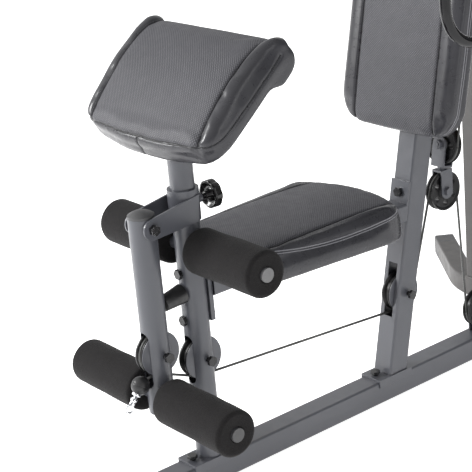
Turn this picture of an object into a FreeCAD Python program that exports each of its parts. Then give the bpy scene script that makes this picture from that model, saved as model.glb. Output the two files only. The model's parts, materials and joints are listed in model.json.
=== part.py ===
import FreeCAD, Part
import math
import os

# Multi station home gym: leg developer, preacher curl pad, seat, backrest, press and butterfly
# arms, lat pull-down and a pin-selected weight stack, all worked by steel cables over pulleys.
# Millimetres, +Z up. +X is the left side of a person on the seat, who faces -Y.
# The layout is set out from the front post (x = 0, y = 0) and is moved at the end, so that the
# origin lies under the middle of the whole machine, on the floor.

V = FreeCAD.Vector

# ---------------------------------------------------------------- driving dimensions
TUBE = 50.0                  # square frame tube and round post size
WALL = 2.0                   # tube wall
CORNER = 5.0                 # outer corner radius of the square tube
RUN_FIT = 0.06               # radial clearance of a turning part on its bolt or spindle

FRONT_BAR_Y = -345.0         # middle of the front stabiliser
FRONT_BAR_HALF = 125.0       # half its length without the caps
REAR_BAR_Y = 994.0           # middle of the rear stabiliser where it is straight
REAR_BEND_X = 205.0          # where the rear stabiliser starts to bend
REAR_BEND_R = 180.0
REAR_BEND_DEG = 36.0
REAR_END_RUN = 148.0         # straight run after the bend
CAP_LEN = 50.0               # plastic cap beyond a stabiliser's end
POST_X = 207.0               # middle of each rear post
TOP_Z = 1990.0               # underside of the top members

LEAN_DEG = 12.18             # the main upright leans back by this angle
LEAN_FOOT_Y = 446.4          # its front face at floor level

LEVER_Y = -95.0              # middle of the leg lever tube
LEVER_LOW = 185.0
LEVER_TOP = 560.0
STOP_Y = -137.5               # ball that stops the low cable at the lever
STOP_Z = 247.0
STOP_R = 17.5
STOP_HANG = math.radians(38)  # the hook hangs forwards from the ball
HOOK_FROM = 28.0             # from the ball's middle to the hook's pin
PIVOT_Y = -92.0
PIVOT_Z = 541.6
LOW_SPINDLE_Y = -101.0
LOW_SPINDLE_Z = 215.0
HIGH_SPINDLE_Y = -2.0
HIGH_SPINDLE_Z = 478.0
SPINDLE_R = 12.5
FOAM_R = 43.0
FOAM_EDGE = 8.0              # rounding of a foam roller's ends
FOAM_LOW_OUT = 230.0         # outer end of the lower foam rollers
FOAM_HIGH_OUT = 223.0
FOAM_IN = 36.0               # inner end of every leg foam roller

CABLE_R = 2.5
PULLEY_R = 42.0              # rim
WRAP_R = 39.0                # middle of the cable where it lies in a pulley
PULLEY_HALF = 9.0            # half the pulley's width
BOLT_R = 5.0

POST_PULLEY = (1.0, 257.0)           # (y, z) of the pulleys in the low cable's plane
LEVER_PULLEY = (-93.0, 297.6)
UPRIGHT_PULLEY = (522.0, 220.0)
BLOCK_PULLEY = (661.0, 402.0)
BASE_PULLEY = (759.0, 105.0)
ANCHOR_Y = REAR_BAR_Y - 70.0 # lug on the beam where the low cable ends
BLOCK_TOP_Y = 668.0          # upper pulley of the floating block
BLOCK_TOP_Z = 501.0
BLOCK_LEAN_DEG = 10.05       # its plane leans with the two strands of the high cable

FORK_REACH = 47.0            # from a fork's bridge to its pulley

SEAT_BOARD_Z = 413.0
SEAT_TOP = 476.0
SEAT_SKIRT = 400.0           # the seat cover hangs below its board
BOARD = 12.0                 # plywood under each cushion

PAD_FACE = (7.0, 784.0)      # (y, z) of the middle of the preacher pad's face
PAD_TILT = 40.0
PAD_HALF_X = 190.0
PAD_HALF_U = 131.0
PAD_UNDER = -50.0            # flat underside, behind the middle of the face
PAD_EDGE = 13.0              # rounding round the pad's rim
PREACHER_R = 22.9
PREACHER_LOW = 496.0
SLEEVE_R = 29.0
SLEEVE_LOW = 529.0
SLEEVE_TOP = 589.0
KNOB_Y = 54.0                # near face of the locking knob
KNOB_DEEP = 16.0
KNOB_R = 27.0
KNOB_Z = 560.5

BACK_LOW = 547.0             # height of the backrest's lower edge
BACK_LEN = 483.0
BACK_HALF = 160.0
BACK_THICK = 48.0
BACK_ROUND = 72.0            # corner radius of the backrest

PLATE_T = 22.0               # one weight plate
PLATE_PITCH = 22.4
PLATE_COUNT = 12
PLATES_LIFTED = 5            # with the selector pin where it is
PLATE_HALF_X = 150.0
PLATE_HALF_Y = 50.0
STACK_LOW = 88.0
GUIDE_X = 110.0
GUIDE_R = 12.5

PRESS_Y = 765.0              # press arm pivot
PRESS_Z = 1650.0
WING_X = 130.0               # butterfly arm pivots
WING_Y = 560.0
ARM_X = 340.0                # hanging part of each butterfly arm
ARM_Y = 480.0
ARM_Z = 1565.0
ARM_R = 19.0
ARM_OPEN_DEG = 38.0          # the right arm rests this far outwards, at its stop
HANDLE_Y = 333.0
HANDLE_LOW = 812.0
HANDLE_HIGH = 1040.0
HANDLE_R = 10.0

LAT_Y = 330.0                # front pulley of the lat pull-down
LAT_TOP_Z = 1945.0           # cable height along the boom
LAT_BAR_Z = 1700.0
REAR_TOP_Z = 1850.0          # centre of the pulley above the weight stack
SIDE_X = WRAP_R             # the strands stand this far each side of the upright
LAT_SWING_Z = LAT_BAR_Z + 24.0

LEAN = math.radians(LEAN_DEG)
LEAN_MID_Y = LEAN_FOOT_Y + TUBE / 2 / math.cos(LEAN)

parts = {}


def lean_y(z):
    """Front face of the main upright at height z."""
    return LEAN_FOOT_Y + z * math.tan(LEAN)


# ---------------------------------------------------------------- building blocks
def box(x0, x1, y0, y1, z0, z1):
    return Part.makeBox(x1 - x0, y1 - y0, z1 - z0, V(x0, y0, z0))


def rod(p, q, r):
    p, q = V(*p), V(*q)
    return Part.makeCylinder(r, (q - p).Length, p, q - p)


def pipe(p, q, r, inner):
    return rod(p, q, r).cut(rod(p, q, inner))


def fuse(*shapes):
    whole = shapes[0].multiFuse(list(shapes[1:]))
    return whole.removeSplitter()


def cut(shape, *tools):
    for tool in tools:
        shape = shape.cut(tool)
    return shape


def rounded_bar(w, d, length, radius):
    """Bar along +Z from z = 0, centred on X and Y, with rounded long edges."""
    bar = box(-w / 2, w / 2, -d / 2, d / 2, 0, length)
    long_edges = [e for e in bar.Edges if abs(e.Vertexes[0].Z - e.Vertexes[1].Z) > length / 2]
    return bar.makeFillet(radius, long_edges)


def square_tube(length, w=TUBE, d=TUBE):
    inner = rounded_bar(w - 2 * WALL, d - 2 * WALL, length, CORNER - WALL)
    return rounded_bar(w, d, length, CORNER).cut(inner)


def lay(shape, start, direction, twist=0.0):
    """Turns a shape built along +Z to run from start along direction, twisted about itself."""
    shape = shape.copy()
    shape.rotate(V(0, 0, 0), V(0, 0, 1), twist)
    turn = FreeCAD.Rotation(V(0, 0, 1), V(*direction))
    shape.Placement = FreeCAD.Placement(V(*start), turn).multiply(shape.Placement)
    return shape


def rounded_slab(outline, z0, z1, edge):
    """A flat closed outline raised from z0 to z1, with its top and bottom edges rounded."""
    slab = Part.Face(outline).extrude(V(0, 0, z1 - z0))
    slab.translate(V(0, 0, z0))
    flat = [e for e in slab.Edges if abs(e.BoundBox.ZLength) < 1e-6]
    return slab.makeFillet(edge, flat)


def corner_outline(points, radii):
    """Closed wire in the XY plane through the corners, each rounded by its own radius."""
    edges = []
    starts, ends = [], []
    count = len(points)
    for i in range(count):
        p = V(*points[i - 1], 0)
        c = V(*points[i], 0)
        n = V(*points[(i + 1) % count], 0)
        a, b = (p - c).normalize(), (n - c).normalize()
        turn = math.pi - a.getAngle(b)
        t = radii[i] * math.tan(turn / 2)
        middle = (a + b).normalize() * (radii[i] / math.cos(turn / 2) - radii[i])
        starts.append(c + a * t)
        ends.append(c + b * t)
        edges.append(Part.Arc(starts[i], c + middle, ends[i]).toShape())
    for i in range(count):
        gap = starts[(i + 1) % count] - ends[i]
        if gap.Length > 1e-4:
            edges.append(Part.LineSegment(ends[i], starts[(i + 1) % count]).toShape())
    return Part.Wire(Part.__sortEdges__(edges))


def bent_route(points, radii):
    """Open path of straight runs with a tangent arc at each inner point."""
    pts = [V(*p) for p in points]
    edges = []
    last = pts[0]
    for i in range(1, len(pts) - 1):
        a = (pts[i - 1] - pts[i]).normalize()
        b = (pts[i + 1] - pts[i]).normalize()
        turn = math.pi - a.getAngle(b)
        t = radii[i - 1] * math.tan(turn / 2)
        middle = (a + b).normalize() * (radii[i - 1] / math.cos(turn / 2) - radii[i - 1])
        start, end = pts[i] + a * t, pts[i] + b * t
        if (start - last).Length > 1e-3:
            edges.append(Part.LineSegment(last, start).toShape())
        edges.append(Part.Arc(start, pts[i] + middle, end).toShape())
        last = end
    edges.append(Part.LineSegment(last, pts[-1]).toShape())
    return Part.Wire(edges)


def swept_rod(points, radii, r):
    """Round bar of radius r along a bent route, checked against its own length."""
    path = bent_route(points, radii)
    start = V(*points[0])
    ring = Part.Wire(Part.makeCircle(r, start, V(*points[1]) - start))
    solid = path.makePipeShell([ring], True, True)
    wanted = math.pi * r * r * path.Length
    print("swept bar: length %.1f, volume share %.4f" % (path.Length, solid.Volume / wanted))
    return solid


def swept_tube(points, radii, r, inner):
    return swept_rod(points, radii, r).cut(swept_rod(points, radii, inner))


def bolt(p, q, r=BOLT_R, head=2.0, nut=True):
    """Hexagon bolt from p to q, with its head beyond p and a nut beyond q."""
    p, q = V(*p), V(*q)
    way = (q - p).normalize()
    height = 1.3 * r
    hexagon = Part.Wire(Part.makePolygon(
        [V(head * r * math.cos(i * math.pi / 3), head * r * math.sin(i * math.pi / 3), 0) for i in range(7)]))
    prism = Part.Face(hexagon).extrude(V(0, 0, height))
    pieces = [rod(p - way * 0.5, q + way * (height + 1.5 if nut else 0.0), r)]
    pieces.append(lay(prism, p - way * height, way))
    if nut:
        pieces.append(lay(prism, q, way))
    return fuse(*pieces)


def pulley(centre, axis):
    """Grooved pulley with six lightening holes, turning on a bolt."""
    c = V(*centre)
    floor_r = WRAP_R - CABLE_R - 0.4
    profile = [(BOLT_R + RUN_FIT, -PULLEY_HALF), (15.0, -PULLEY_HALF), (17.0, -6.0), (36.0, -6.0),
               (39.0, -PULLEY_HALF), (PULLEY_R, -PULLEY_HALF), (PULLEY_R, -6.8), (floor_r, -3.4)]
    mirrored = [(r, -x) for r, x in reversed(profile)]
    outline = [V(r, 0, x) for r, x in profile + mirrored]
    wheel = Part.Face(Part.makePolygon(outline + [outline[0]])).revolve(V(0, 0, 0), V(0, 0, 1), 360)
    for i in range(6):
        a = i * math.pi / 3
        spot = (26.5 * math.cos(a), 26.5 * math.sin(a))
        wheel = wheel.cut(rod((*spot, -20), (*spot, 20), 6.5))
    return lay(wheel, c, axis)


def cheek(y, z, x0, x1, radius=PULLEY_R - 1.0):
    """Flat guard disc beside a pulley, with a hole for the pulley's bolt."""
    return rod((x0, y, z), (x1, y, z), radius).cut(rod((x0 - 1, y, z), (x1 + 1, y, z), BOLT_R + 0.1))


def tangent_plate(y, z, r, upper, lower, x0, x1):
    """Plate of thickness x0..x1: a round end at (y, z) that widens to an edge from upper to lower."""
    def touch(p, side):
        dy, dz = y - p[0], z - p[1]
        d = math.hypot(dy, dz)
        a = math.atan2(dz, dy) + side * math.asin(r / d)
        reach = math.sqrt(d * d - r * r)
        return (p[0] + reach * math.cos(a), p[1] + reach * math.sin(a))
    up, low = touch(upper, -1), touch(lower, 1)
    corners = [upper, up, (y, z), low, lower]
    wire = Part.makePolygon([V(x0, a, b) for a, b in corners + [corners[0]]])
    flat = Part.Face(wire).extrude(V(x1 - x0, 0, 0))
    return fuse(flat, rod((x0, y, z), (x1, y, z), r))


# ---------------------------------------------------------------- floor frame
def add_floor_frame():
    rear_face = REAR_BAR_Y - TUBE / 2
    front_face = FRONT_BAR_Y + TUBE / 2
    beam = lay(square_tube(rear_face - front_face), (0, front_face, TUBE / 2), (0, 1, 0))
    y, z = BASE_PULLEY
    ears = []
    for side in (-1, 1):
        ear = box(side * 12 - 1.5, side * 12 + 1.5, y - 20, y + 20, TUBE, z)
        ear = fuse(ear, rod((side * 12 - 1.5, y, z), (side * 12 + 1.5, y, z), 20))
        ears.append(ear.cut(rod((-30, y, z), (30, y, z), BOLT_R + 0.1)))
    anchor = box(-3, 3, ANCHOR_Y - 12, ANCHOR_Y + 12, TUBE, TUBE + 30)
    parts["base_beam"] = fuse(beam, anchor, *ears)

    bar = lay(square_tube(2 * FRONT_BAR_HALF), (-FRONT_BAR_HALF, FRONT_BAR_Y, TUBE / 2), (1, 0, 0))
    parts["front_stabiliser"] = bar
    parts["rear_stabiliser"] = rear_bar(TUBE, CORNER).cut(rear_bar(TUBE - 2 * WALL, CORNER - WALL))
    caps = [box_cap(FRONT_BAR_HALF * s, FRONT_BAR_Y, 0 if s > 0 else 180) for s in (-1, 1)]
    end_x, end_y = rear_bar_end()
    for side in (-1, 1):
        angle = REAR_BEND_DEG if side > 0 else 180 - REAR_BEND_DEG
        caps.append(box_cap(side * end_x, end_y, angle))
    boom_cap = rounded_bar(TUBE, TUBE, 4, CORNER)
    caps.append(lay(boom_cap, (0, LAT_Y - 60, TOP_Z + TUBE / 2), (0, -1, 0)))
    parts["end_caps"] = Part.makeCompound(caps)



def stack_base():
    """Plate over the rear stabiliser that the guide rods stand in."""
    base = box(-170, 170, REAR_BAR_Y - 50, REAR_BAR_Y + 50, TUBE, TUBE + 8)
    holes = [rod((s * GUIDE_X, REAR_BAR_Y, 0), (s * GUIDE_X, REAR_BAR_Y, 90), GUIDE_R) for s in (-1, 1)]
    return cut(base, *holes)


def rear_bar_end():
    turn = math.radians(REAR_BEND_DEG)
    x = REAR_BEND_X + REAR_BEND_R * math.sin(turn) + REAR_END_RUN * math.cos(turn)
    y = REAR_BAR_Y + REAR_BEND_R * (1 - math.cos(turn)) + REAR_END_RUN * math.sin(turn)
    return x, y


def rear_bar(size, radius):
    """Rear stabiliser: straight in the middle, with both ends swept back."""
    turn = math.radians(REAR_BEND_DEG)
    corner = REAR_BEND_R * math.tan(turn / 2)
    end_x, end_y = rear_bar_end()
    bend_x = REAR_BEND_X + corner
    z = TUBE / 2
    points = [(-end_x, end_y, z), (-bend_x, REAR_BAR_Y, z), (bend_x, REAR_BAR_Y, z), (end_x, end_y, z)]
    path = bent_route(points, [REAR_BEND_R, REAR_BEND_R])
    section = rounded_bar(size, size, 10, radius).Faces
    ring = [f for f in section if abs(f.CenterOfMass.z) < 1e-6][0].OuterWire
    way = V(*points[1]) - V(*points[0])
    ring = lay(ring, points[0], (1, 0, 0), 90)
    ring.rotate(V(*points[0]), V(0, 0, 1), math.degrees(math.atan2(way.y, way.x)))
    return path.makePipeShell([ring], True, True)


def box_cap(x, y, angle):
    """Plastic cap that carries a floor bar on by its own length, with a plug inside the tube."""
    cap = rounded_bar(TUBE, TUBE, CAP_LEN, CORNER)
    plug = rounded_bar(TUBE - 2 * WALL - 0.4, TUBE - 2 * WALL - 0.4, 20, CORNER - WALL)
    plug.translate(V(0, 0, -19.5))
    cap = lay(fuse(cap, plug), (0, 0, TUBE / 2), (1, 0, 0), 90)
    cap.rotate(V(0, 0, 0), V(0, 0, 1), angle)
    cap.translate(V(x, y, 0))
    return cap


# ---------------------------------------------------------------- uprights and top frame
def add_rear_frame():
    posts = []
    for side in (-1, 1):
        posts.append(lay(square_tube(TOP_Z - TUBE), (side * POST_X, REAR_BAR_Y, TUBE), (0, 0, 1)))
    parts["rear_posts"] = Part.makeCompound(posts)
    half = POST_X + TUBE / 2
    cross = lay(square_tube(2 * half), (-half, REAR_BAR_Y, TOP_Z + TUBE / 2), (1, 0, 0))
    parts["top_cross_tube"] = cross

    front, rear = LAT_Y - 60, REAR_BAR_Y - TUBE / 2
    boom = lay(square_tube(rear - front), (0, front, TOP_Z + TUBE / 2), (0, 1, 0))
    centre, axis = lat_pulley_place()
    ears = hanger(centre, axis) + hanger(V(0, REAR_BAR_Y - WRAP_R, REAR_TOP_Z), V(1, 0, 0))
    parts["top_boom"] = fuse(boom, *ears)

    rods = []
    for x in (-GUIDE_X, GUIDE_X):
        rods.append(rod((x, REAR_BAR_Y, TUBE), (x, REAR_BAR_Y, TOP_Z), GUIDE_R))
    parts["guide_rods"] = Part.makeCompound(rods)


def hanger(centre, axis):
    """Two welded ears that hold a pulley below the boom, square to the pulley's axis."""
    ears = []
    turn = math.degrees(math.atan2(axis.y, axis.x))
    for side in (-1, 1):
        x = side * 12
        ear = fuse(box(x - 1.5, x + 1.5, -18, 18, centre.z, TOP_Z),
                   rod((x - 1.5, 0, centre.z), (x + 1.5, 0, centre.z), 18))
        ear = ear.cut(rod((x - 5, 0, centre.z), (x + 5, 0, centre.z), BOLT_R + 0.1))
        ear.rotate(V(0, 0, 0), V(0, 0, 1), turn)
        ear.translate(V(centre.x, centre.y, 0))
        ears.append(ear)
    return ears


def leaning(shape):
    """Moves a shape built along +Z at x = y = 0 into the main upright's leaning line."""
    shape = shape.copy()
    shape.rotate(V(0, 0, 0), V(1, 0, 0), -LEAN_DEG)
    shape.translate(V(0, LEAN_MID_Y, 0))
    return shape


def add_main_upright():
    long_tube = square_tube(2400)
    long_tube.translate(V(0, 0, -100))
    tube = leaning(long_tube).common(box(-60, 60, 0, 1500, TUBE, TOP_Z))
    y, z = UPRIGHT_PULLEY
    slot = leaning(box(-12, 12, -60, 60, 174, 288))
    holes = [slot, rod((-60, y, z), (60, y, z), BOLT_R + 0.1)]
    mid = PRESS_Z / math.cos(LEAN)
    back = leaning(box(-34, 34, -TUBE / 2 - 5, -TUBE / 2, mid - 60, mid + 40))
    lugs = []
    top_y, low_y = lean_y(PRESS_Z + 30) - 3, lean_y(PRESS_Z - 50) - 3
    for x0 in (-34, 29):
        upper, lower = (top_y, PRESS_Z + 30), (low_y, PRESS_Z - 50)
        lugs.append(tangent_plate(PRESS_Y, PRESS_Z, 24, upper, lower, x0, x0 + 5))
    upright = fuse(tube, back, *lugs)
    holes.append(rod((-60, PRESS_Y, PRESS_Z), (60, PRESS_Y, PRESS_Z), 8.1))
    centre, axis = side_pulley_place()
    holes.append(rod(centre - axis * 100, centre + axis * 100, BOLT_R + 0.1))
    parts["main_upright"] = cut(upright, *holes)


def saddle(y0, y1):
    """Plate with two side tabs that joins an upright's foot to the base beam."""
    half = TUBE / 2
    plate = box(-half - 3, half + 3, y0, y1, TUBE + 0.05, TUBE + 5)
    tabs = []
    for x in (-half - 1.55, half + 1.55):
        tabs.append(box(x - 1.45, x + 1.45, y0, y1, TUBE - 12, TUBE + 3))
    return fuse(plate, *tabs)


def round_slot(z0, z1, half=12):
    """Upright slot with round ends, cut from front to back through a round tube."""
    slot = box(-half, half, -200, 60, z0 + half, z1 - half)
    ends = [rod((0, -200, z), (0, 60, z), half) for z in (z0 + half, z1 - half)]
    return fuse(slot, *ends)


def add_front_post():
    post = pipe((0, 0, TUBE + 5), (0, 0, SLEEVE_TOP - 14.5), TUBE / 2, TUBE / 2 - WALL)
    y, z = POST_PULLEY
    post = cut(post, round_slot(z - 47, z + 50), rod((-60, y, z), (60, y, z), BOLT_R + 0.1))
    spindle = rod((-60, HIGH_SPINDLE_Y, HIGH_SPINDLE_Z), (60, HIGH_SPINDLE_Y, HIGH_SPINDLE_Z), SPINDLE_R)
    post = cut(post, spindle, rod((0, 0, KNOB_Z), (0, 60, KNOB_Z), BOLT_R + RUN_FIT))
    for height in (430, 338):
        post = cut(post, rod((0, -60, height), (0, 60, height), BOLT_R + 0.1))
    parts["front_post"] = post

    upright_y = lean_y(TUBE)
    front = cut(saddle(-55, 42), rod((0, 0, 40), (0, 0, 70), TUBE / 2 - WALL))
    rear = cut(saddle(upright_y - 31, upright_y + 62), leaning(rounded_bar(TUBE, TUBE, 200, CORNER)))
    parts["mounting_plates"] = Part.makeCompound([front, rear, stack_base()])

    collar = fuse(
        pipe((0, 0, SLEEVE_LOW), (0, 0, SLEEVE_TOP), SLEEVE_R, TUBE / 2 + 0.05),
        pipe((0, 0, SLEEVE_TOP - 14), (0, 0, SLEEVE_TOP), SLEEVE_R, PREACHER_R + 0.1),
        rod((0, 27, KNOB_Z), (0, 37, KNOB_Z), 9))
    plates = []
    for x0 in (-30.5, 26.5):
        plates.append(tangent_plate(PIVOT_Y, PIVOT_Z, 19.5, (13, 579), (7, SLEEVE_LOW), x0, x0 + 4))
    bore = rod((0, 0, 500), (0, 0, SLEEVE_TOP - 14), TUBE / 2 + 0.05)
    bracket = cut(fuse(collar, *plates), bore, rod((0, 0, KNOB_Z), (0, 60, KNOB_Z), BOLT_R + RUN_FIT))
    bracket = cut(bracket, rod((-60, PIVOT_Y, PIVOT_Z), (60, PIVOT_Y, PIVOT_Z), 6.05))
    parts["lever_bracket"] = cut(bracket, rod((0, 0, 500), (0, 0, 600), PREACHER_R + 0.1))

    low, high = FOAM_HIGH_OUT, HIGH_SPINDLE_Z
    parts["upper_spindle"] = pipe((-low, HIGH_SPINDLE_Y, high), (low, HIGH_SPINDLE_Y, high), SPINDLE_R, 10.5)
    parts["upper_spindle_caps"] = spindle_caps(HIGH_SPINDLE_Y, high, low)

    stop = Part.makeCone(19, 15, 43.5, V(0, -25.2, 392), V(0, -1, -0.155))
    stop = stop.cut(box(-30, 30, -120, LEVER_Y + TUBE / 2 + 0.3, 300, 500))
    stop = stop.cut(rod((0, 0, 340), (0, 0, 440), TUBE / 2))
    parts["rubber_stops"] = Part.makeCompound([stop] + stack_buffers())


def spindle_caps(y, z, out):
    caps = []
    for side in (-1, 1):
        head = rod((side * (out + 0.1), y, z), (side * (out + 4), y, z), SPINDLE_R + 0.5)
        plug = rod((side * (out - 12), y, z), (side * (out + 1), y, z), 10.3)
        caps.append(fuse(head, plug))
    return Part.makeCompound(caps)


def foam(y, z, x0, x1):
    """Foam roller with rounded ends, turning on its spindle."""
    low, high = min(x0, x1), max(x0, x1)
    body = rod((low, y, z), (high, y, z), FOAM_R)
    rims = [e for e in body.Edges if isinstance(e.Curve, Part.Circle)]
    return body.makeFillet(FOAM_EDGE, rims).cut(rod((low - 1, y, z), (high + 1, y, z), SPINDLE_R + RUN_FIT))


# ---------------------------------------------------------------- seat, backrest and preacher pad
def seat_outline(inset):
    """Plan of the seat: a little wider at the back, where its edge bulges rearwards."""
    front = V(-125 + inset, 50 + inset, 0)
    side = V(-148 + inset, 385, 0)
    back = V(0, 450 - inset, 0)
    edges = [
        Part.LineSegment(V(-front.x - 30, front.y, 0), V(front.x + 30, front.y, 0)),
        Part.Arc(V(front.x + 30, front.y, 0), V(front.x + 7.5, front.y + 9, 0), V(front.x, front.y + 30, 0)),
        Part.LineSegment(V(front.x, front.y + 30, 0), side - V(0, 25, 0)),
        Part.Arc(side - V(0, 25, 0), V(side.x + 8, side.y + 15, 0), side + V(38, 40, 0)),
        Part.Arc(side + V(38, 40, 0), back, V(-side.x - 38, side.y + 40, 0)),
        Part.Arc(V(-side.x - 38, side.y + 40, 0), V(-side.x - 8, side.y + 15, 0), V(-side.x, side.y - 25, 0)),
        Part.LineSegment(V(-side.x, side.y - 25, 0), V(-front.x, front.y + 30, 0)),
        Part.Arc(V(-front.x, front.y + 30, 0), V(-front.x - 7.5, front.y + 9, 0), V(-front.x - 30, front.y, 0)),
    ]
    return Part.Wire([e.toShape() for e in edges])


def raised(outline, z0, z1):
    slab = Part.Face(outline).extrude(V(0, 0, z1 - z0))
    slab.translate(V(0, 0, z0))
    return slab


def rectangle(half_x, y0, y1, radius):
    return corner_outline([(-half_x, y0), (half_x, y0), (half_x, y1), (-half_x, y1)], [radius] * 4)


def on_backrest(shape):
    """Local x across, y up the backrest, z out of the upright's front face, into place."""
    shape = shape.copy()
    start = BACK_LOW / math.cos(LEAN)
    shape.rotate(V(0, 0, 0), V(1, 0, 0), 90)
    shape.translate(V(0, -TUBE / 2, start))
    return leaning(shape)


def on_preacher(shape):
    """Local x across, y up the slope, z out of the pad's face, into place."""
    shape = shape.copy()
    shape.rotate(V(0, 0, 0), V(1, 0, 0), PAD_TILT)
    shape.translate(V(0, *PAD_FACE))
    return shape


def add_seat():
    top = SEAT_BOARD_Z
    rear = lean_y(395)
    tube = lay(square_tube(rear + 10 - 31, 50, 38), (0, 31, top - 19), (0, 1, 0), 90 * 2)
    upright_side = leaning(rounded_bar(TUBE + 12, TUBE, 900, CORNER))
    front_plate = box(-19, 19, 22, 31.2, 327, 446)
    front_plate = cut(front_plate, rod((0, 0, 300), (0, 0, 460), TUBE / 2 + 0.1))
    for height in (430, 338):
        front_plate = cut(front_plate, rod((0, 0, height), (0, 60, height), BOLT_R + 0.1))
    low = 372 / math.cos(LEAN)
    rear_plate = leaning(box(-25, 25, -TUBE / 2 - 5, -TUBE / 2, low, low + 80))
    rear_bolt_y = lean_y(432)
    bolt_hole = rod((0, rear_bolt_y - 30, 432 + 30 * math.tan(LEAN)), (0, rear_bolt_y + 70, 432 - 70 * math.tan(LEAN)),
                    BOLT_R + 0.1)
    frame = cut(fuse(tube, front_plate, cut(rear_plate, bolt_hole)), upright_side)
    parts["seat_frame"] = frame
    parts["main_upright"] = cut(parts["main_upright"], bolt_hole)

    seat_board = raised(seat_outline(16), top, top + BOARD)
    pad = rounded_slab(seat_outline(0), SEAT_SKIRT, SEAT_TOP, 8)
    pad = cut(pad, raised(seat_outline(15.8), SEAT_SKIRT - 5, top + BOARD + 0.2))
    parts["seat_pad"] = pad.cut(box(-26, 26, 0, 600, SEAT_SKIRT - 5, top + 0.3))

    inner = rectangle(BACK_HALF - 16, 16, BACK_LEN - 16, 50)
    hollow = rectangle(BACK_HALF - 15.8, 15.8, BACK_LEN - 15.8, 50)
    back_board = on_backrest(raised(inner, 0.1, BOARD))
    back_pad = rounded_slab(rectangle(BACK_HALF, 0, BACK_LEN, BACK_ROUND), 3, BACK_THICK, 10)
    parts["backrest_pad"] = on_backrest(back_pad.cut(raised(hollow, -5, BOARD + 0.2)))
    parts["cushion_boards"] = Part.makeCompound([seat_board, back_board])


def preacher_profile():
    """Side view of the preacher pad: (up the slope, out of the face), with a crowned face and a
    thicker upper end that curls down behind. Its lower end is cut off by the plan."""
    low, high = -PAD_HALF_U - 40, PAD_HALF_U
    under = [(low, PAD_UNDER), (48, PAD_UNDER), (66, -68), (high - 2, -68)]
    corners = under + [(high, 3), (38, 24), (low, -8)]
    return corner_outline(corners, [5, 20, 20, 36, 28, 340, 5])


def preacher_plan():
    """Front view of the preacher pad, across and up the slope: the lower edge is bowed and its
    corners are well rounded."""
    x, low = PAD_HALF_X, -PAD_HALF_U
    corners = [(-x, 200), (-x, low + 16), (-50, low), (50, low), (x, low + 16), (x, 200)]
    return corner_outline(corners, [20, 52, 300, 300, 52, 20])


def preacher_body():
    body = Part.Face(preacher_profile()).extrude(V(0, 0, 2 * PAD_HALF_X + 20))
    body.translate(V(0, 0, -PAD_HALF_X - 10))
    body.rotate(V(0, 0, 0), V(1, 1, 1), 120)
    plan = preacher_plan()
    body = body.common(raised(plan, -100, 100))
    rims = []
    for edge in body.Edges:
        middle = edge.valueAt((edge.FirstParameter + edge.LastParameter) / 2)
        way = edge.tangentAt((edge.FirstParameter + edge.LastParameter) / 2)
        gap = Part.Vertex(middle.x, middle.y, 0).distToShape(plan)[0]
        if gap < 0.01 and abs(way.z) < 0.99:
            rims.append(edge)
    return body.makeFillet(PAD_EDGE, rims)


def add_preacher():
    parts["preacher_pad"] = on_preacher(preacher_body())
    plate = on_preacher(box(-45, 45, -115, 40, PAD_UNDER - 4.1, PAD_UNDER - 0.1))
    post = pipe((0, 0, PREACHER_LOW), (0, 0, 900), PREACHER_R, PREACHER_R - WALL)
    above = on_preacher(box(-400, 400, -400, 400, PAD_UNDER - 0.1, 800))
    parts["preacher_post"] = fuse(post.cut(above), plate)

    rim = rod((0, KNOB_Y, KNOB_Z), (0, KNOB_Y + KNOB_DEEP, KNOB_Z), KNOB_R)
    for i in range(8):
        a = (i + 0.5) * math.pi / 4
        x, z = (KNOB_R + 4) * math.cos(a), KNOB_Z + (KNOB_R + 4) * math.sin(a)
        rim = rim.cut(rod((x, 0, z), (x, 200, z), 6.5))
    stem = rod((0, PREACHER_R + 0.5, KNOB_Z), (0, KNOB_Y + 1, KNOB_Z), BOLT_R)
    parts["locking_knob"] = fuse(rim, stem, rod((0, KNOB_Y - 10, KNOB_Z), (0, KNOB_Y + 1, KNOB_Z), 8))


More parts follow.
